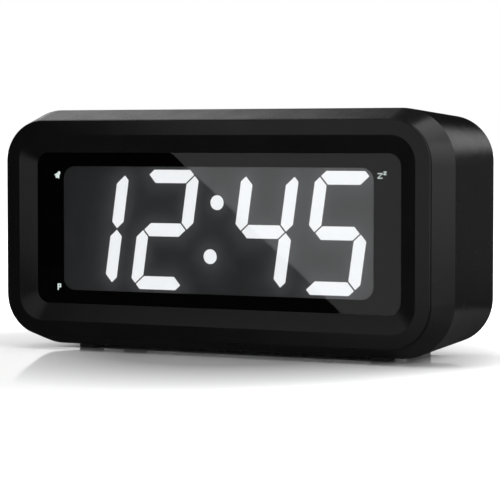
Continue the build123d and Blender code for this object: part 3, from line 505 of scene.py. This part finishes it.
# %% Foil
window_x, window_z, window_corner = 52.8, 19.15, 3.8  # half sizes and corner radius
foil_gap, foil_front, foil_back, foil_square = 0.02, 0.01, 0.17, 0.9
middle_z = (lens_low.z + lens_high.z) / 2
halo_sheet = add_block(
    "painted_halo_foil",
    (foil_gap - window_x, lens_high.y + ink_sink + foil_front, middle_z - window_z + foil_gap),
    (window_x - foil_gap, lens_high.y + foil_back, middle_z + window_z - foil_gap),
)
round_edges(halo_sheet, window_corner, 8, along("y"))
settle(halo_sheet)
bpy.ops.object.mode_set(mode="EDIT")
for way, half in (((1, 0, 0), window_x), ((0, 0, 1), window_z)):
    steps = int(half / foil_square)
    for step in range(-steps, steps + 1):
        at = Vector(way) * step * foil_square * MM + Vector((0, 0, middle_z * MM))
        bpy.ops.mesh.select_all(action="SELECT")
        bpy.ops.mesh.bisect(plane_co=at, plane_no=way)
bpy.ops.object.mode_set(mode="OBJECT")
print("foil:", len(halo_sheet.data.polygons), "faces")

# %% Painted halo, falling off with the distance to the nearest lit bar
halo_peak, halo_start, halo_reach = 0.018, 0.2, 3.2  # share at a bar; distances in mm
lit_bars = [solid for name, solid in nodes.items() if slot_of[name] == "lit_resin"]
halo = halo_sheet.data.attributes.new("halo", "FLOAT", "POINT")
for point in halo_sheet.data.vertices:
    away = (solid.closest_point_on_mesh(point.co)[1] - point.co for solid in lit_bars)
    near = min(way.length for way in away) / MM
    share = halo_peak * math.exp(-max(near - halo_start, 0) / halo_reach)
    halo.data[point.index].value = share
halo_sheet.data.materials.append(painted_halo_foil)
halo_sheet.visible_shadow = False
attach(halo_sheet, "case")
print("halo from", len(lit_bars), "lit solids on", len(halo_sheet.data.vertices), "corners")

# %% [markdown]
# ## Rubber feet
# The feet are die-cut rubber pads. A block gets round corners, then a soft lower edge,
# and an inset with a shallow push gives each pad the slight dish that it grips with. The
# rear pads are higher than the front ones, so each pad takes its size from its solid.

# %% Feet
pad_corner, pad_edge, rim_width, dish_slope, dish_depth = 1.2, 0.35, 0.8, 0.3, 0.15


def rubber_foot(node):
    low, high = node_box(node)
    foot = add_block(f"{node}_pad", low, high)
    round_edges(foot, pad_corner, 6, along("z"))
    round_edges(foot, pad_edge, 3, lambda middle, way: middle.z < 0.01 and abs(way.z) < 0.1)
    pick(foot, "FACE", lambda middle, out: out.z < -0.99)
    bpy.ops.mesh.inset(thickness=rim_width * MM)
    bpy.ops.mesh.inset(thickness=dish_slope * MM, depth=-dish_depth * MM)
    smooth(foot)
    foot.data.materials.append(foot_rubber)
    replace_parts(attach(foot, "case"), node)
    return foot


for side in ("left_front", "right_front", "left_rear", "right_rear"):
    print("foot", rubber_foot(f"{side}_foot").name)

# %% [markdown]
# ## Turned pieces
# Screws and battery cells are round all about, so they are made as on a lathe. A single
# point is pushed along the outline, and the outline is spun a full turn. Stacked
# cylinders would need joining at every step, while one spun outline is closed at once.
# It begins and ends on the axis, so that the skin closes there.

# %% Lathe
WAY_TURN = {"+x": (0, math.pi / 2, 0), "-x": (0, -math.pi / 2, 0), "+y": (-math.pi / 2, 0, 0)}
WELD = 0.001  # points closer than this are one point


def turned(name, outline, steps):
    """Spin an outline of (radius, height) points about the upright axis."""
    settle()
    bpy.ops.mesh.primitive_plane_add(size=MM)
    piece = named(name)
    bpy.ops.object.mode_set(mode="EDIT")
    bpy.ops.mesh.select_mode(type="VERT")
    bpy.ops.mesh.select_all(action="SELECT")
    bpy.ops.mesh.merge(type="CENTER")
    bpy.ops.transform.translate(value=(outline[0][0] * MM, 0, outline[0][1] * MM))
    for (radius, height), (next_radius, next_height) in zip(outline, outline[1:]):
        push = ((next_radius - radius) * MM, 0, (next_height - height) * MM)
        bpy.ops.mesh.extrude_region_move(TRANSFORM_OT_translate={"value": push})
    bpy.ops.mesh.select_all(action="SELECT")
    bpy.ops.mesh.spin(steps=steps, angle=2 * math.pi, center=(0, 0, 0), axis=(0, 0, 1))
    bpy.ops.mesh.select_all(action="SELECT")
    bpy.ops.mesh.remove_doubles(threshold=WELD * MM)
    bpy.ops.mesh.normals_make_consistent(inside=False)
    settle(piece)
    return piece


def stand(piece, middle, way):
    """Turn an upright piece so that its top points along a way, and put it in place."""
    return placed(piece, WAY_TURN[way], middle)


def copied(piece):
    """A copy with a mesh of its own."""
    settle(piece)
    bpy.ops.object.duplicate()
    return bpy.context.object


def joined(name, pieces):
    """Join pieces into the first one, and name it."""
    settle(*pieces[1:], pieces[0])
    if len(pieces) > 1:
        bpy.ops.object.join()
    pieces[0].name = pieces[0].data.name = name
    return pieces[0]


# %% [markdown]
# ## Cover screws
# Two pan-head screws hold the cover at its top corners. The head is a low dome, and the
# shank has the coarse ridges of a screw that cuts its own thread in plastic. The ridges
# are rings and not a true thread, because only the head shows. The cross recess is cut
# out with two blocks whose bottoms are scaled smaller.

# %% Screw head and shank
screw_low, screw_high = node_box("cover_screws")
head_radius, head_height, shank_radius, thread_root = 2.2, 1.1, 1.25, 0.98
head_dome = [
    (0, head_height), (0.9, 1.07), (1.5, 0.97), (1.95, 0.74), (2.17, 0.4),
    (head_radius, 0.12), (2.1, 0), (shank_radius, 0),
]
thread_start, thread_pitch, thread_turns = -0.4, 0.55, 17
tip_radius, tip_length = 0.5, 0.5
seat_y = screw_high.y - head_height
shank_length = seat_y - screw_low.y
ridges = []
for turn in range(thread_turns):
    top = thread_start - turn * thread_pitch
    ridges += [
        (thread_root, top), (shank_radius, top - 0.2),
        (shank_radius, top - 0.28), (thread_root, top - 0.48),
    ]
tip = [(tip_radius, tip_length - shank_length), (0, -shank_length)]
print("shank", round(shank_length, 1), "mm with", thread_turns, "ridges")


# %% Screws
def cut(piece, tool):
    """Take one piece's shape out of another."""
    settle(piece)
    taking = piece.modifiers.new("recess", "BOOLEAN")
    taking.operation, taking.object = "DIFFERENCE", tool
    bpy.ops.object.modifier_apply(modifier=taking.name)
    settle(tool)
    bpy.ops.object.delete()


def pan_screw():
    """One screw, upright, with the seat of its head at height 0."""
    arm, blade, floor_z, above, taper = 2.5, 0.62, 0.35, 1.5, 0.7
    screw = turned("screw", head_dome + ridges + tip, 28)
    for wide, high in ((arm, blade), (blade, arm)):
        low, top = (-wide / 2, -high / 2, floor_z), (wide / 2, high / 2, above)
        tool = add_block("recess_tool", low, top)
        pick(tool, "FACE", lambda middle, out: out.z < -0.9)
        bpy.ops.transform.resize(value=(taper, taper, 1))
        settle()
        cut(screw, tool)
    smooth(screw, 40)
    screw.data.materials.append(screw_steel)
    return screw


screw_x, screw_z = screw_high.x - head_radius, (screw_low.z + screw_high.z) / 2
left_screw = pan_screw()
right_screw = copied(left_screw)
stand(left_screw, (-screw_x, seat_y, screw_z), "+y")
stand(right_screw, (screw_x, seat_y, screw_z), "+y")
both = joined("cover_pan_screws", [left_screw, right_screw])
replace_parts(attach(both, "case"), "cover_screws")
print("screws:", len(both.data.polygons), "faces")

# %% [markdown]
# ## Battery cells
# A cell is a steel can in a printed sleeve. The sleeve is rolled over the edges of the
# can, and leaves bare metal at both ends. All three finishes sit on one turned body, and
# its faces are told apart by how far they lie from the axis and along it, so the borders
# between the finishes are as sharp as the mesh. The marks for the two poles are thin
# strips on the side that shows when the door is open.

# %% Outline of a cell
cell_band = moulded("cell_band", (0.36, 0.37, 0.39), (0.42, 0.43, 0.45), 0.3, 500, 0.003)
sleeve_radius, face_radius, band_start, cap_start = 7.25, 5.6, 34.3, 49.25
can_outline = [
    (0, 0.12), (5.5, 0.12), (5.75, 0.0), (6.75, 0.0), (7.12, 0.16), (sleeve_radius, 0.6),
    (sleeve_radius, 34.0), (sleeve_radius, band_start), (sleeve_radius, 48.6),
    (7.12, 49.04), (6.75, 49.2), (5.75, 49.2), (5.5, 49.02), (3.6, 49.02), (3.2, 49.12),
    (2.75, 49.2), (2.75, 50.2), (2.62, 50.42), (2.35, 50.5), (0, 50.5),
]
one_can = turned("can", can_outline, 56)
print("can:", len(one_can.data.polygons), "faces")

# %% Marks for the poles
mark_reach, mark_half, mark_line, mark_sink, mark_proud = 8, 1.3, 0.22, 0.16, 0.03


def pole_mark(x, y, z, plus):
    """A minus, or two crossed strips for a plus, on the open side of a cell."""
    back, front = y - mark_sink, y + mark_proud
    low, high = (x - mark_half, back, z - mark_line), (x + mark_half, front, z + mark_line)
    strips = [add_block("strip", low, high)]
    if plus:
        low = (x - mark_line, back, z - mark_half)
        high = (x + mark_line, front - 0.005, z + mark_half)
        strips.append(add_block("strip", low, high))
    for strip in strips:
        round_edges(strip, 0.02, 1, lambda middle, way: True)
    return strips


# %% Cells
cell_starts = {"battery_cell_1": 1, "battery_cell_2": 1, "battery_cell_3": -1, "battery_cell_4": -1}
can_half = can_outline[-1][1] / 2
mark_area = 1.3  # square millimetres; the sleeve's own faces are larger
for cell_node, turn in cell_starts.items():
    low, high = node_box(cell_node)
    axis_y, axis_z = (low.y + high.y) / 2, (low.z + high.z) / 2
    foot_x, tip_x = (low.x, high.x) if turn > 0 else (high.x, low.x)
    cell = stand(copied(one_can), (foot_x, axis_y, axis_z), "+x" if turn > 0 else "-x")
    marks = pole_mark(tip_x - turn * mark_reach, high.y, axis_z, True)
    marks += pole_mark(foot_x + turn * mark_reach, high.y, axis_z, False)
    cell = joined(f"{cell_node}_can", [cell] + marks)
    for finish_used in (cell_sleeve, cell_band, nickel_contact):
        cell.data.materials.append(finish_used)
    for face in cell.data.polygons:
        spot = face.center / MM
        off_axis = math.hypot(spot.y - axis_y, spot.z - axis_z)
        reach = abs(spot.x - foot_x)
        at_mark = abs(abs(reach - can_half) - (can_half - mark_reach)) < mark_half + 0.1
        on_mark = spot.y > high.y - 0.15 and face.area / MM**2 < mark_area and at_mark
        if off_axis < face_radius or reach > cap_start:
            face.material_index = 2
        elif on_mark and reach < can_half or reach > band_start and not on_mark:
            face.material_index = 1
    smooth(cell, 40)
    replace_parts(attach(cell, "case"), cell_node)
    print(cell.name, "from x", round(low.x, 1), "to", round(high.x, 1))
settle(one_can)
bpy.ops.object.delete()

# %% [markdown]
# ## Contact springs
# Two of the battery contacts carry a spring that is wound to a cone, so that it can be
# pressed flat. The spring starts as a small circle, the cross-section of its wire, and a
# Screw modifier winds it round and up. Simple Deform tapers the coil, and the open ends
# are filled. A curve with a round bevel would also do, but would have to be made from a
# list of points.

# %% Springs
spring_length, spring_foot, spring_tip, wire_radius = 4.0, 4.6, 3.0, 0.36


def wound_spring(name, turns=4):
    settle()
    bpy.ops.mesh.primitive_circle_add(
        vertices=10,
        radius=wire_radius * MM,
        location=((spring_foot - wire_radius) * MM, 0, wire_radius * MM),
        rotation=(math.pi / 2, 0, 0),
    )
    coil = named(name)
    winding = coil.modifiers.new("winding", "SCREW")
    winding.iterations, winding.steps, winding.render_steps = turns, 30, 30
    winding.screw_offset = (spring_length - 2 * wire_radius) / turns * MM
    bpy.ops.object.modifier_apply(modifier="winding")
    cone = coil.modifiers.new("cone", "SIMPLE_DEFORM")
    cone.deform_method, cone.deform_axis = "TAPER", "Z"
    cone.factor = spring_tip / spring_foot - 1
    bpy.ops.object.modifier_apply(modifier="cone")
    bpy.ops.object.mode_set(mode="EDIT")
    bpy.ops.mesh.select_all(action="SELECT")
    bpy.ops.mesh.fill_holes(sides=0)
    bpy.ops.mesh.select_all(action="SELECT")
    bpy.ops.mesh.normals_make_consistent(inside=False)
    settle(coil)
    return coil


upper_spring = wound_spring("spring")
lower_spring = copied(upper_spring)
print("spring:", [round(v, 2) for v in upper_spring.dimensions / MM], "mm")

# %% [markdown]
# ## Battery contacts
# The contacts are plated sheet: a plate with clipped corners, a spring or a raised ring
# where the cell's end presses, and a tab that the lead is soldered to. The pieces of a
# contact are modelled where they belong and joined, as they are one stamping.

# %% Pieces of a contact
sheet, seat_x, upper_z, lower_z, cell_y = 0.5, 52.5, 32.95, 17.45, 15.05
ring_radius, ring_line, ring_sink = 4.1, 0.35, 0.2
tab_front, tab_back, tab_root, tab_half = 13.8, 16.3, -52.8, 0.25


def contact_plate(low, high):
    """A sheet plate with clipped corners."""
    plate = add_block("sheet", low, high)
    round_edges(plate, 1.0, 2, along("x"))
    round_edges(plate, 0.08, 1, lambda middle, way: abs(way.x) < 0.9)
    return plate


def left_plate(node):
    """The plate of a contact at the left, whose box also holds its spring and tab."""
    low, high = node_box(node)
    return contact_plate((-seat_x - sheet, low.y, low.z), (-seat_x, high.y, high.z))


def pressed_ring(x, z):
    add_ring((x, cell_y, z), ring_radius, ring_line, "x", 10)
    return named("pressed_ring")


def solder_tab(node, z):
    low, _ = node_box(node)
    tab = add_block("tab", (low.x, tab_front, z - tab_half), (tab_root, tab_back, z + tab_half))
    round_edges(tab, 0.6, 3, lambda middle, way: abs(way.z) > 0.9 and middle.x < -55)
    return tab


# %% Contacts
def contact(node, pieces):
    whole = joined(f"{node}_sheet", pieces)
    smooth(whole, 40)
    whole.data.materials.append(nickel_contact)
    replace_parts(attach(whole, "case"), node)
    print(whole.name, len(whole.data.polygons), "faces")


contact("negative_contact", [
    left_plate("negative_contact"),
    stand(upper_spring, (-seat_x, cell_y, upper_z), "+x"),
    solder_tab("negative_contact", upper_z),
])
contact("positive_contact", [
    left_plate("positive_contact"),
    pressed_ring(-seat_x - ring_sink, lower_z),
    solder_tab("positive_contact", lower_z),
])
link_low, link_high = node_box("linking_contact")
contact("linking_contact", [
    contact_plate(link_low + Vector((spring_length, 0, 0)), link_high),
    stand(lower_spring, (seat_x, cell_y, lower_z), "-x"),
    pressed_ring(seat_x + ring_sink, upper_z),
])

# %% [markdown]
# ## Marks on the back
# Small printed marks tell the keys apart: a dial for the time, a dial with two bells for
# the alarm, one arrow for the hours and two for the minutes. Beside the slides a ring and
# a dot stand for off and on, and a large and a small dot for bright and dim. A printed
# picture would need the cover to be unwrapped. The marks are thin shapes of ink instead:
# rings are flattened tori, and strokes are thin blocks with eased corners.

# %% Ink shapes
print_white = moulded("print_white", grey(0.5), grey(0.58), 0.5, 900, 0.004)
face_y, ink, ring_ink = node_box("rear_cover")[1].y, 0.05, 0.16
mark_z = node_box("time_key")[1].z + 3.2


def ink_ring(x, z, radius):
    ring = add_ring((x, face_y, z), radius, ring_ink, "y", 8)
    ring.scale = (1, 1, ink / ring_ink)
    return named("ring")


def ink_dot(x, z, radius):
    dot = add_rod("dot", (x, face_y, z), radius, 2 * ink, "y", 32)
    round_edges(dot, 0.02, 1, lambda middle, way: abs(way.y) < 0.1)
    return dot


def ink_stroke(x, z, length, width, tilt=0):
    """A stroke that starts at a point and runs up, leaned over by an angle."""
    stroke = add_block("stroke", (-width / 2, -ink, 0), (width / 2, ink, length))
    round_edges(stroke, 0.03, 2, along("y"))
    return placed(stroke, (0, math.radians(tilt), 0), (x, face_y, z))


def ink_arrow(x, z, size):
    """A triangle that points up, with eased corners."""
    arrow = add_rod("arrow", (x, face_y, z), size, 2 * ink, "y", 3)
    round_edges(arrow, 0.12, 2, along("y"))
    return arrow


# %% Marks
key_x = {"time": -21, "alarm": -7, "hour": 7, "minute": 21}
dial_radius, hand_width, long_hand, short_hand = 1.35, 0.2, 0.95, 0.75
bell_x, bell_rise, bell_length, bell_width, bell_lean = 0.9, 1.3, 0.9, 0.5, 60


def mark(name, pieces):
    whole = joined(name, pieces)
    whole.data.materials.append(print_white)
    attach(whole, "case")
    print(name, [round(v, 1) for v in whole.dimensions / MM])


def dial(x):
    """A clock face with its hands at three o'clock, as seen on the back."""
    upright_hand = ink_stroke(x, mark_z, long_hand, hand_width)
    level_hand = ink_stroke(x, mark_z, short_hand, hand_width, -90)
    return [ink_ring(x, mark_z, dial_radius), upright_hand, level_hand]


def bell(side):
    """One of the two bells that stand on the alarm's dial."""
    place = (key_x["alarm"] + side * bell_x, mark_z + bell_rise)
    return ink_stroke(*place, bell_length, bell_width, side * bell_lean)


mark("time_mark", dial(key_x["time"]))
mark("alarm_mark", dial(key_x["alarm"]) + [bell(-1), bell(1)])
mark("hour_mark", [ink_arrow(key_x["hour"], mark_z, 1.1)])
mark("minute_mark", [ink_arrow(key_x["minute"], mark_z + rise, 0.95) for rise in (-0.75, 0.75)])
mark("alarm_slide_mark", [ink_ring(-40.2, mark_z, 0.8), ink_dot(-33.8, mark_z, 0.9)])
mark("dimmer_slide_mark", [ink_dot(29.8, mark_z, 0.55), ink_dot(36.2, mark_z, 1.0)])

# %% [markdown]
# ## Grip on the snooze bar
# A row of low ribs on the bar lets a hand find it in the dark. The ribs get shorter
# towards both ends of the row, so each one is its own block with round ends and a soft
# top. They lie in the bar's own slope, and they move with it.

# %% Snooze ribs
bar_slope, bar_top, bar_y = math.radians(-2.92), 74.03, -1.0
rib_pitch, rib_half_length, rib_taper, rib_half_width = 2.8, 2.9, 0.2, 0.45
rib_foot, rib_rise, ribs_each_side = -0.4, 0.14, 4
ribs = []
for step in range(-ribs_each_side, ribs_each_side + 1):
    half = rib_half_length - rib_taper * abs(step)
    low, high = (-rib_half_width, -half, rib_foot), (rib_half_width, half, rib_rise)
    rib = add_block("rib", low, high)
    round_edges(rib, 0.4, 4, along("z"))
    round_edges(rib, 0.1, 2, lambda middle, way: middle.z > rib_rise - 0.01)
    ribs.append(placed(rib, (bar_slope, 0, 0), (step * rib_pitch, bar_y, bar_top)))
grip = joined("snooze_grip", ribs)
smooth(grip, 40)
grip.data.materials.append(key_black)
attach(grip, "snooze_bar")
print("snooze grip:", len(ribs), "ribs")

# %% [markdown]
# ## Floor
# The floor is plain and white, with a light polish that mirrors the clock's foot and dies
# away. A floor that mirrored everywhere would show its far edge, so the polish is strong
# near the clock only. Far from the clock painted light makes the floor as white as the wall
# behind it, and so the horizon can't be seen. Towards the clock this painted light fades
# nearly out, in an ellipse set a little to the clock's front left, which leaves a painted
# pool of shade round it; under the clock there is none.

# %% Floor and its helpers
FLOOR_SIZE = 24  # metres
settle()
bpy.ops.mesh.primitive_plane_add(size=FLOOR_SIZE)
floor = named("floor")
floor_white = finish("floor_white", grey(0.86), 0.9, Specular_IOR_Level=0.1)


def pool(radius_x, radius_y, middle=(0, 0)):
    """One at a point under the clock, falling to nothing at an ellipse round it."""
    size = Vector((radius_x, radius_y, 1 / MM)) * MM
    settings = {
        "Vector": object_place(floor_white),
        "Location": (-middle[0] / radius_x, -middle[1] / radius_y, 0),
        "Scale": [1 / v for v in size],
    }
    scaled = wire(floor_white, "ShaderNodeMapping", settings).outputs["Vector"]
    fade = wire(floor_white, "ShaderNodeTexGradient", {"Vector": scaled}, gradient_type="SPHERICAL")
    return fade.outputs["Fac"]


def seen_by(owner):
    """One for a ray from the camera, or one that was mirrored or let through."""
    rays = wire(owner, "ShaderNodeLightPath").outputs
    seen = maths(owner, "ADD", rays["Is Camera Ray"], rays["Is Glossy Ray"])
    return maths(owner, "ADD", seen, rays["Is Transmission Ray"])


# %% Painted shadow under the clock
# Right under the clock the floor takes neither the painted light nor the polish, or light would
# glance through the gap: a painted shadow with soft edges, in a box under the clock.
shadow_x, shadow_y, shadow_edge = 64, 15, (0.75, 1.1)
settings = {
    "Vector": object_place(floor_white),
    "Scale": (1 / (shadow_x * MM), 1 / (shadow_y * MM), 1),
}
footprint = wire(floor_white, "ShaderNodeMapping", settings).outputs["Vector"]
sides = wire(floor_white, "ShaderNodeVectorMath", {0: footprint}, operation="ABSOLUTE")
sides = wire(floor_white, "ShaderNodeSeparateXYZ", {0: sides.outputs["Vector"]}).outputs
edge = maths(floor_white, "MAXIMUM", sides["X"], sides["Y"])
outside = carried(floor_white, edge, shadow_edge, (0, 1), interpolation_type="SMOOTHSTEP")
print("dull floor:", 2 * shadow_x, "by", 2 * shadow_y, "mm")

# %% Painted light far away, fading to a painted pool of shade near the clock, and polish near it
away = carried(floor_white, pool(125, 140, (-22, -30)), (0.02, 0.46), (1, 0))
painted_lift = maths(floor_white, "ADD", maths(floor_white, "POWER", away, 3.0), 0.06)
painted_lift = maths(floor_white, "MULTIPLY", painted_lift, outside)
painted_lift = maths(floor_white, "MULTIPLY", seen_by(floor_white), painted_lift)
glow = wire(floor_white, "ShaderNodeEmission", {"Strength": painted_lift}).outputs[0]
plain = shader_of(floor_white).outputs[0]
lifted = wire(floor_white, "ShaderNodeAddShader", {0: plain, 1: glow}).outputs[0]

polish = wire(floor_white, "ShaderNodeBsdfGlossy", {"Roughness": 0.06, "Color": (1, 1, 1, 1)})
amount = carried(floor_white, pool(100, 124), (0.06, 0.62), (0, 1.15))
amount = maths(floor_white, "MULTIPLY", amount, outside)
glancing = wire(floor_white, "ShaderNodeFresnel", {"IOR": 1.6}).outputs[0]
amount = maths(floor_white, "MULTIPLY", amount, glancing)
mixed = wire(floor_white, "ShaderNodeMixShader", {0: amount, 1: lifted, 2: polish.outputs[0]})
surface = floor_white.node_tree.nodes["Material Output"].inputs["Surface"]
floor_white.node_tree.links.new(mixed.outputs[0], surface)
floor.data.materials.append(floor_white)
print("floor:", len(floor_white.node_tree.nodes), "nodes")

# %% [markdown]
# ## Cards and screens
# Glossy black has hardly a colour of its own: one sees what it mirrors. So white cards and
# dark screens stand where each face of the clock mirrors them, as in a photographer's
# studio. They show in reflections only, and neither light the clock nor throw shadows,
# which real cards would. Each one is a flat sheet that is seen from its front, and some
# fade from one brightness to another.

# %% Sheets
PAD_HEIGHT, STAND_HEIGHT, CARD_HEIGHT = 0.6, 0.5, 450


def card(name, corners, brightness, far=None, start=None, end=None):
    """A flat sheet through corner points, seen from its front in reflections only.

    With a second brightness, it changes evenly from the first at one point to the
    second at another."""
    mesh = bpy.data.meshes.new(name)
    mesh.from_pydata([Vector(c) * MM for c in corners], [], [list(range(len(corners)))])
    sheet = bpy.data.objects.new(name, mesh)
    bpy.context.scene.collection.objects.link(sheet)
    paper = bpy.data.materials.new(name)
    paper.use_nodes = True
    paper.node_tree.nodes.clear()
    if far is not None:
        start, end = Vector(start) * MM, Vector(end) * MM
        way = (end - start) / (end - start).length_squared
        settings = {0: object_place(paper), 1: way}
        reach = wire(paper, "ShaderNodeVectorMath", settings, operation="DOT_PRODUCT")
        first = start.dot(way)
        span = (first, first + 1)
        brightness = carried(paper, reach.outputs["Value"], span, (brightness, far))
    light = wire(paper, "ShaderNodeEmission", {"Strength": brightness}).outputs[0]
    clear = wire(paper, "ShaderNodeBsdfTransparent").outputs[0]
    behind = wire(paper, "ShaderNodeNewGeometry").outputs["Backfacing"]
    one_sided = wire(paper, "ShaderNodeMixShader", {0: behind, 1: light, 2: clear})
    wire(paper, "ShaderNodeOutputMaterial", {"Surface": one_sided.outputs[0]})
    mesh.materials.append(paper)
    sheet.visible_camera = sheet.visible_diffuse = sheet.visible_shadow = False
    print("sheet", name, "with", len(corners), "corners")


def upright(x1, y1, x2, y2, low, high):
    """Corners of a sheet that stands on a line; it faces the left of the way along it."""
    return [(x1, y1, low), (x1, y1, high), (x2, y2, high), (x2, y2, low)]


def lying(x1, y1, x2, y2):
    """Corners of a sheet just over the floor, facing up."""
    return [(x, y, PAD_HEIGHT) for x, y in ((x1, y1), (x2, y1), (x2, y2), (x1, y2))]


def hanging(x1, y1, x2, y2, height):
    """Corners of a sheet over the clock, facing down."""
    return [(x, y, height) for x, y in ((x1, y1), (x1, y2), (x2, y2), (x2, y1))]


# %% In front of the clock
# The slanting edge of lens_card is the border between the lens's dark and bright halves.
lens_edge = [
    (-149, 110), (120, 110), (120, -15), (-45, -15), (-38, 3), (-18, 4.2), (-87, 60.5)
]
card("lens_card", [(x, -150, z) for x, z in lens_edge], 0.66)
card("dark_screen", upright(-900, -420, 260, -420, STAND_HEIGHT, 900), 0.012)
upper_fade = ((-360, -400, 300), (-180, -400, 300))
card("upper_card", upright(-420, -400, -60, -400, 240, 560), 0.1, 0.4, *upper_fade)
card("left_screen", upright(-500, 500, -500, -420, STAND_HEIGHT, 330), 0.03)

# %% Pads on the floor
# The lower half of each face mirrors the floor, so what it mirrors lies there in patches: painted
# reflections of the floor, and under the clock a painted shadow.
card("far_pad", lying(-500, -420, 260, -130), 0.02)
card("near_pad", lying(-500, -130, 260, -27), 0.06)
# Painted shadow: this pad is dark under the clock and lighter past its right side, as the lower faces
# mirror it.
card("pad", lying(-150, -27, 700, 90), 0.012, 0.2, (55, 0, 0), (105, 0, 0))
card("side_pad", lying(60, 90, 700, 690), 0.03)
card("rear_pad", lying(-500, 90, 60, 690), 0.12, 0.6, (0, 110, 0), (0, 280, 0))
card("left_pad", lying(-495, -27, -150, 90), 0.3)

# %% Over and behind the clock
# The bright cards overhead draw the light on the sloping band and its corner, and the
# dark ones behind keep the top and the rounded edge of the side dark.
card("ceiling", hanging(-900, -900, 900, 200, 900), 0.2)
top_fade = ((-400, 0, CARD_HEIGHT), (-215, 0, CARD_HEIGHT))
card("top_card", hanging(-900, 200, 110, 650, CARD_HEIGHT), 1.0, 0.03, *top_fade)
card("corner_card", hanging(110, 60, 600, 430, CARD_HEIGHT), 1.0)
rear_edge = [(-700, 650), (-700, 1500), (600, 1500), (600, 430), (110, 430), (110, 650)]
card("rear_card", [(x, y, CARD_HEIGHT) for x, y in rear_edge], 0.012)
rear_fade = ((0, 0, 100), (0, 0, 440))
card("rear_wall", upright(150, 700, -480, 700, 75, CARD_HEIGHT), 0.004, 0.012, *rear_fade)

# %% At the right side
side_corners = [
    (330, 250, STAND_HEIGHT), (330, 250, 247), (65, 400.2, 247),
    (65, 400.2, 115), (30, 420, 115), (30, 420, STAND_HEIGHT),
]
card("side_screen", side_corners, 0.065, 0.72, (0, 0, 95), (0, 0, 140))
right_fade = ((0, 0, 10), (0, 0, 230))
card("right_card", upright(420, 60, 330, 250, STAND_HEIGHT, 420), 0.48, 1.1, *right_fade)

# %% [markdown]
# ## Lamps and world
# Four soft lamps light the clock from above, from the sides and from behind, at a plain
# level, and the world adds an even fill. Large lamps give soft shadows, as in the
# photograph. They don't show in reflections, because the cards are there for that. A ray
# from the camera, or one mirrored or bent by the clock, finds the world plain white.

# %% Lamps
LAMP_AIM = (0, 0, 30)


def lamp(name, place, size, watts):
    """A square lamp that faces the clock; sizes in millimetres."""
    settle()
    bpy.ops.object.light_add(type="AREA", location=Vector(place) * MM)
    light = bpy.context.object
    light.name = name
    light.data.size = size * MM
    light.data.energy = watts
    aim = Vector(LAMP_AIM) * MM - light.location
    light.rotation_euler = aim.to_track_quat("-Z", "Y").to_euler()
    light.visible_glossy = False
    print(name, watts, "W")


lamp("top_lamp", (-200, -100, 900), 700, 4.2)
lamp("left_lamp", (-800, -500, 500), 500, 3.2)
lamp("right_lamp", (800, -300, 450), 500, 2.7)
lamp("back_lamp", (350, 900, 600), 600, 1.5)

# %% World
world_fill, world_seen = 0.35, 1.0
world = bpy.data.worlds.new("studio")
bpy.context.scene.world = world
world.use_nodes = True
back = world.node_tree.nodes["Background"]
back.inputs["Color"].default_value = (1, 1, 1, 1)
level = carried(world, seen_by(world), (0, 1), (world_fill, world_seen))
world.node_tree.links.new(level, back.inputs["Strength"])
print("world:", world_fill, "as light,", world_seen, "as a background")

# %% [markdown]
# ## Camera
# The photograph was matched with a pinhole camera: a long lens, 0.68 m from the clock,
# 28 degrees to its right and under 3 degrees above it. The place and the aim come from
# fitting the outlines of the rim, the recess and the lens.

# %% Camera
camera_place = Vector((331.67, -626.74, 64.28)) * MM
camera_aim = Vector((14.06, -25.0, 32.51)) * MM
settle()
bpy.ops.object.camera_add(location=camera_place)
camera = bpy.context.object
camera.data.lens, camera.data.sensor_width = 166.1, 36.0
camera.data.clip_start = 0.01
camera.rotation_euler = (camera_aim - camera_place).to_track_quat("-Z", "Y").to_euler()
bpy.context.scene.camera = camera
bpy.context.scene.view_settings.view_transform = "Standard"
print("camera", round((camera_aim - camera_place).length / MM), "mm from its aim")
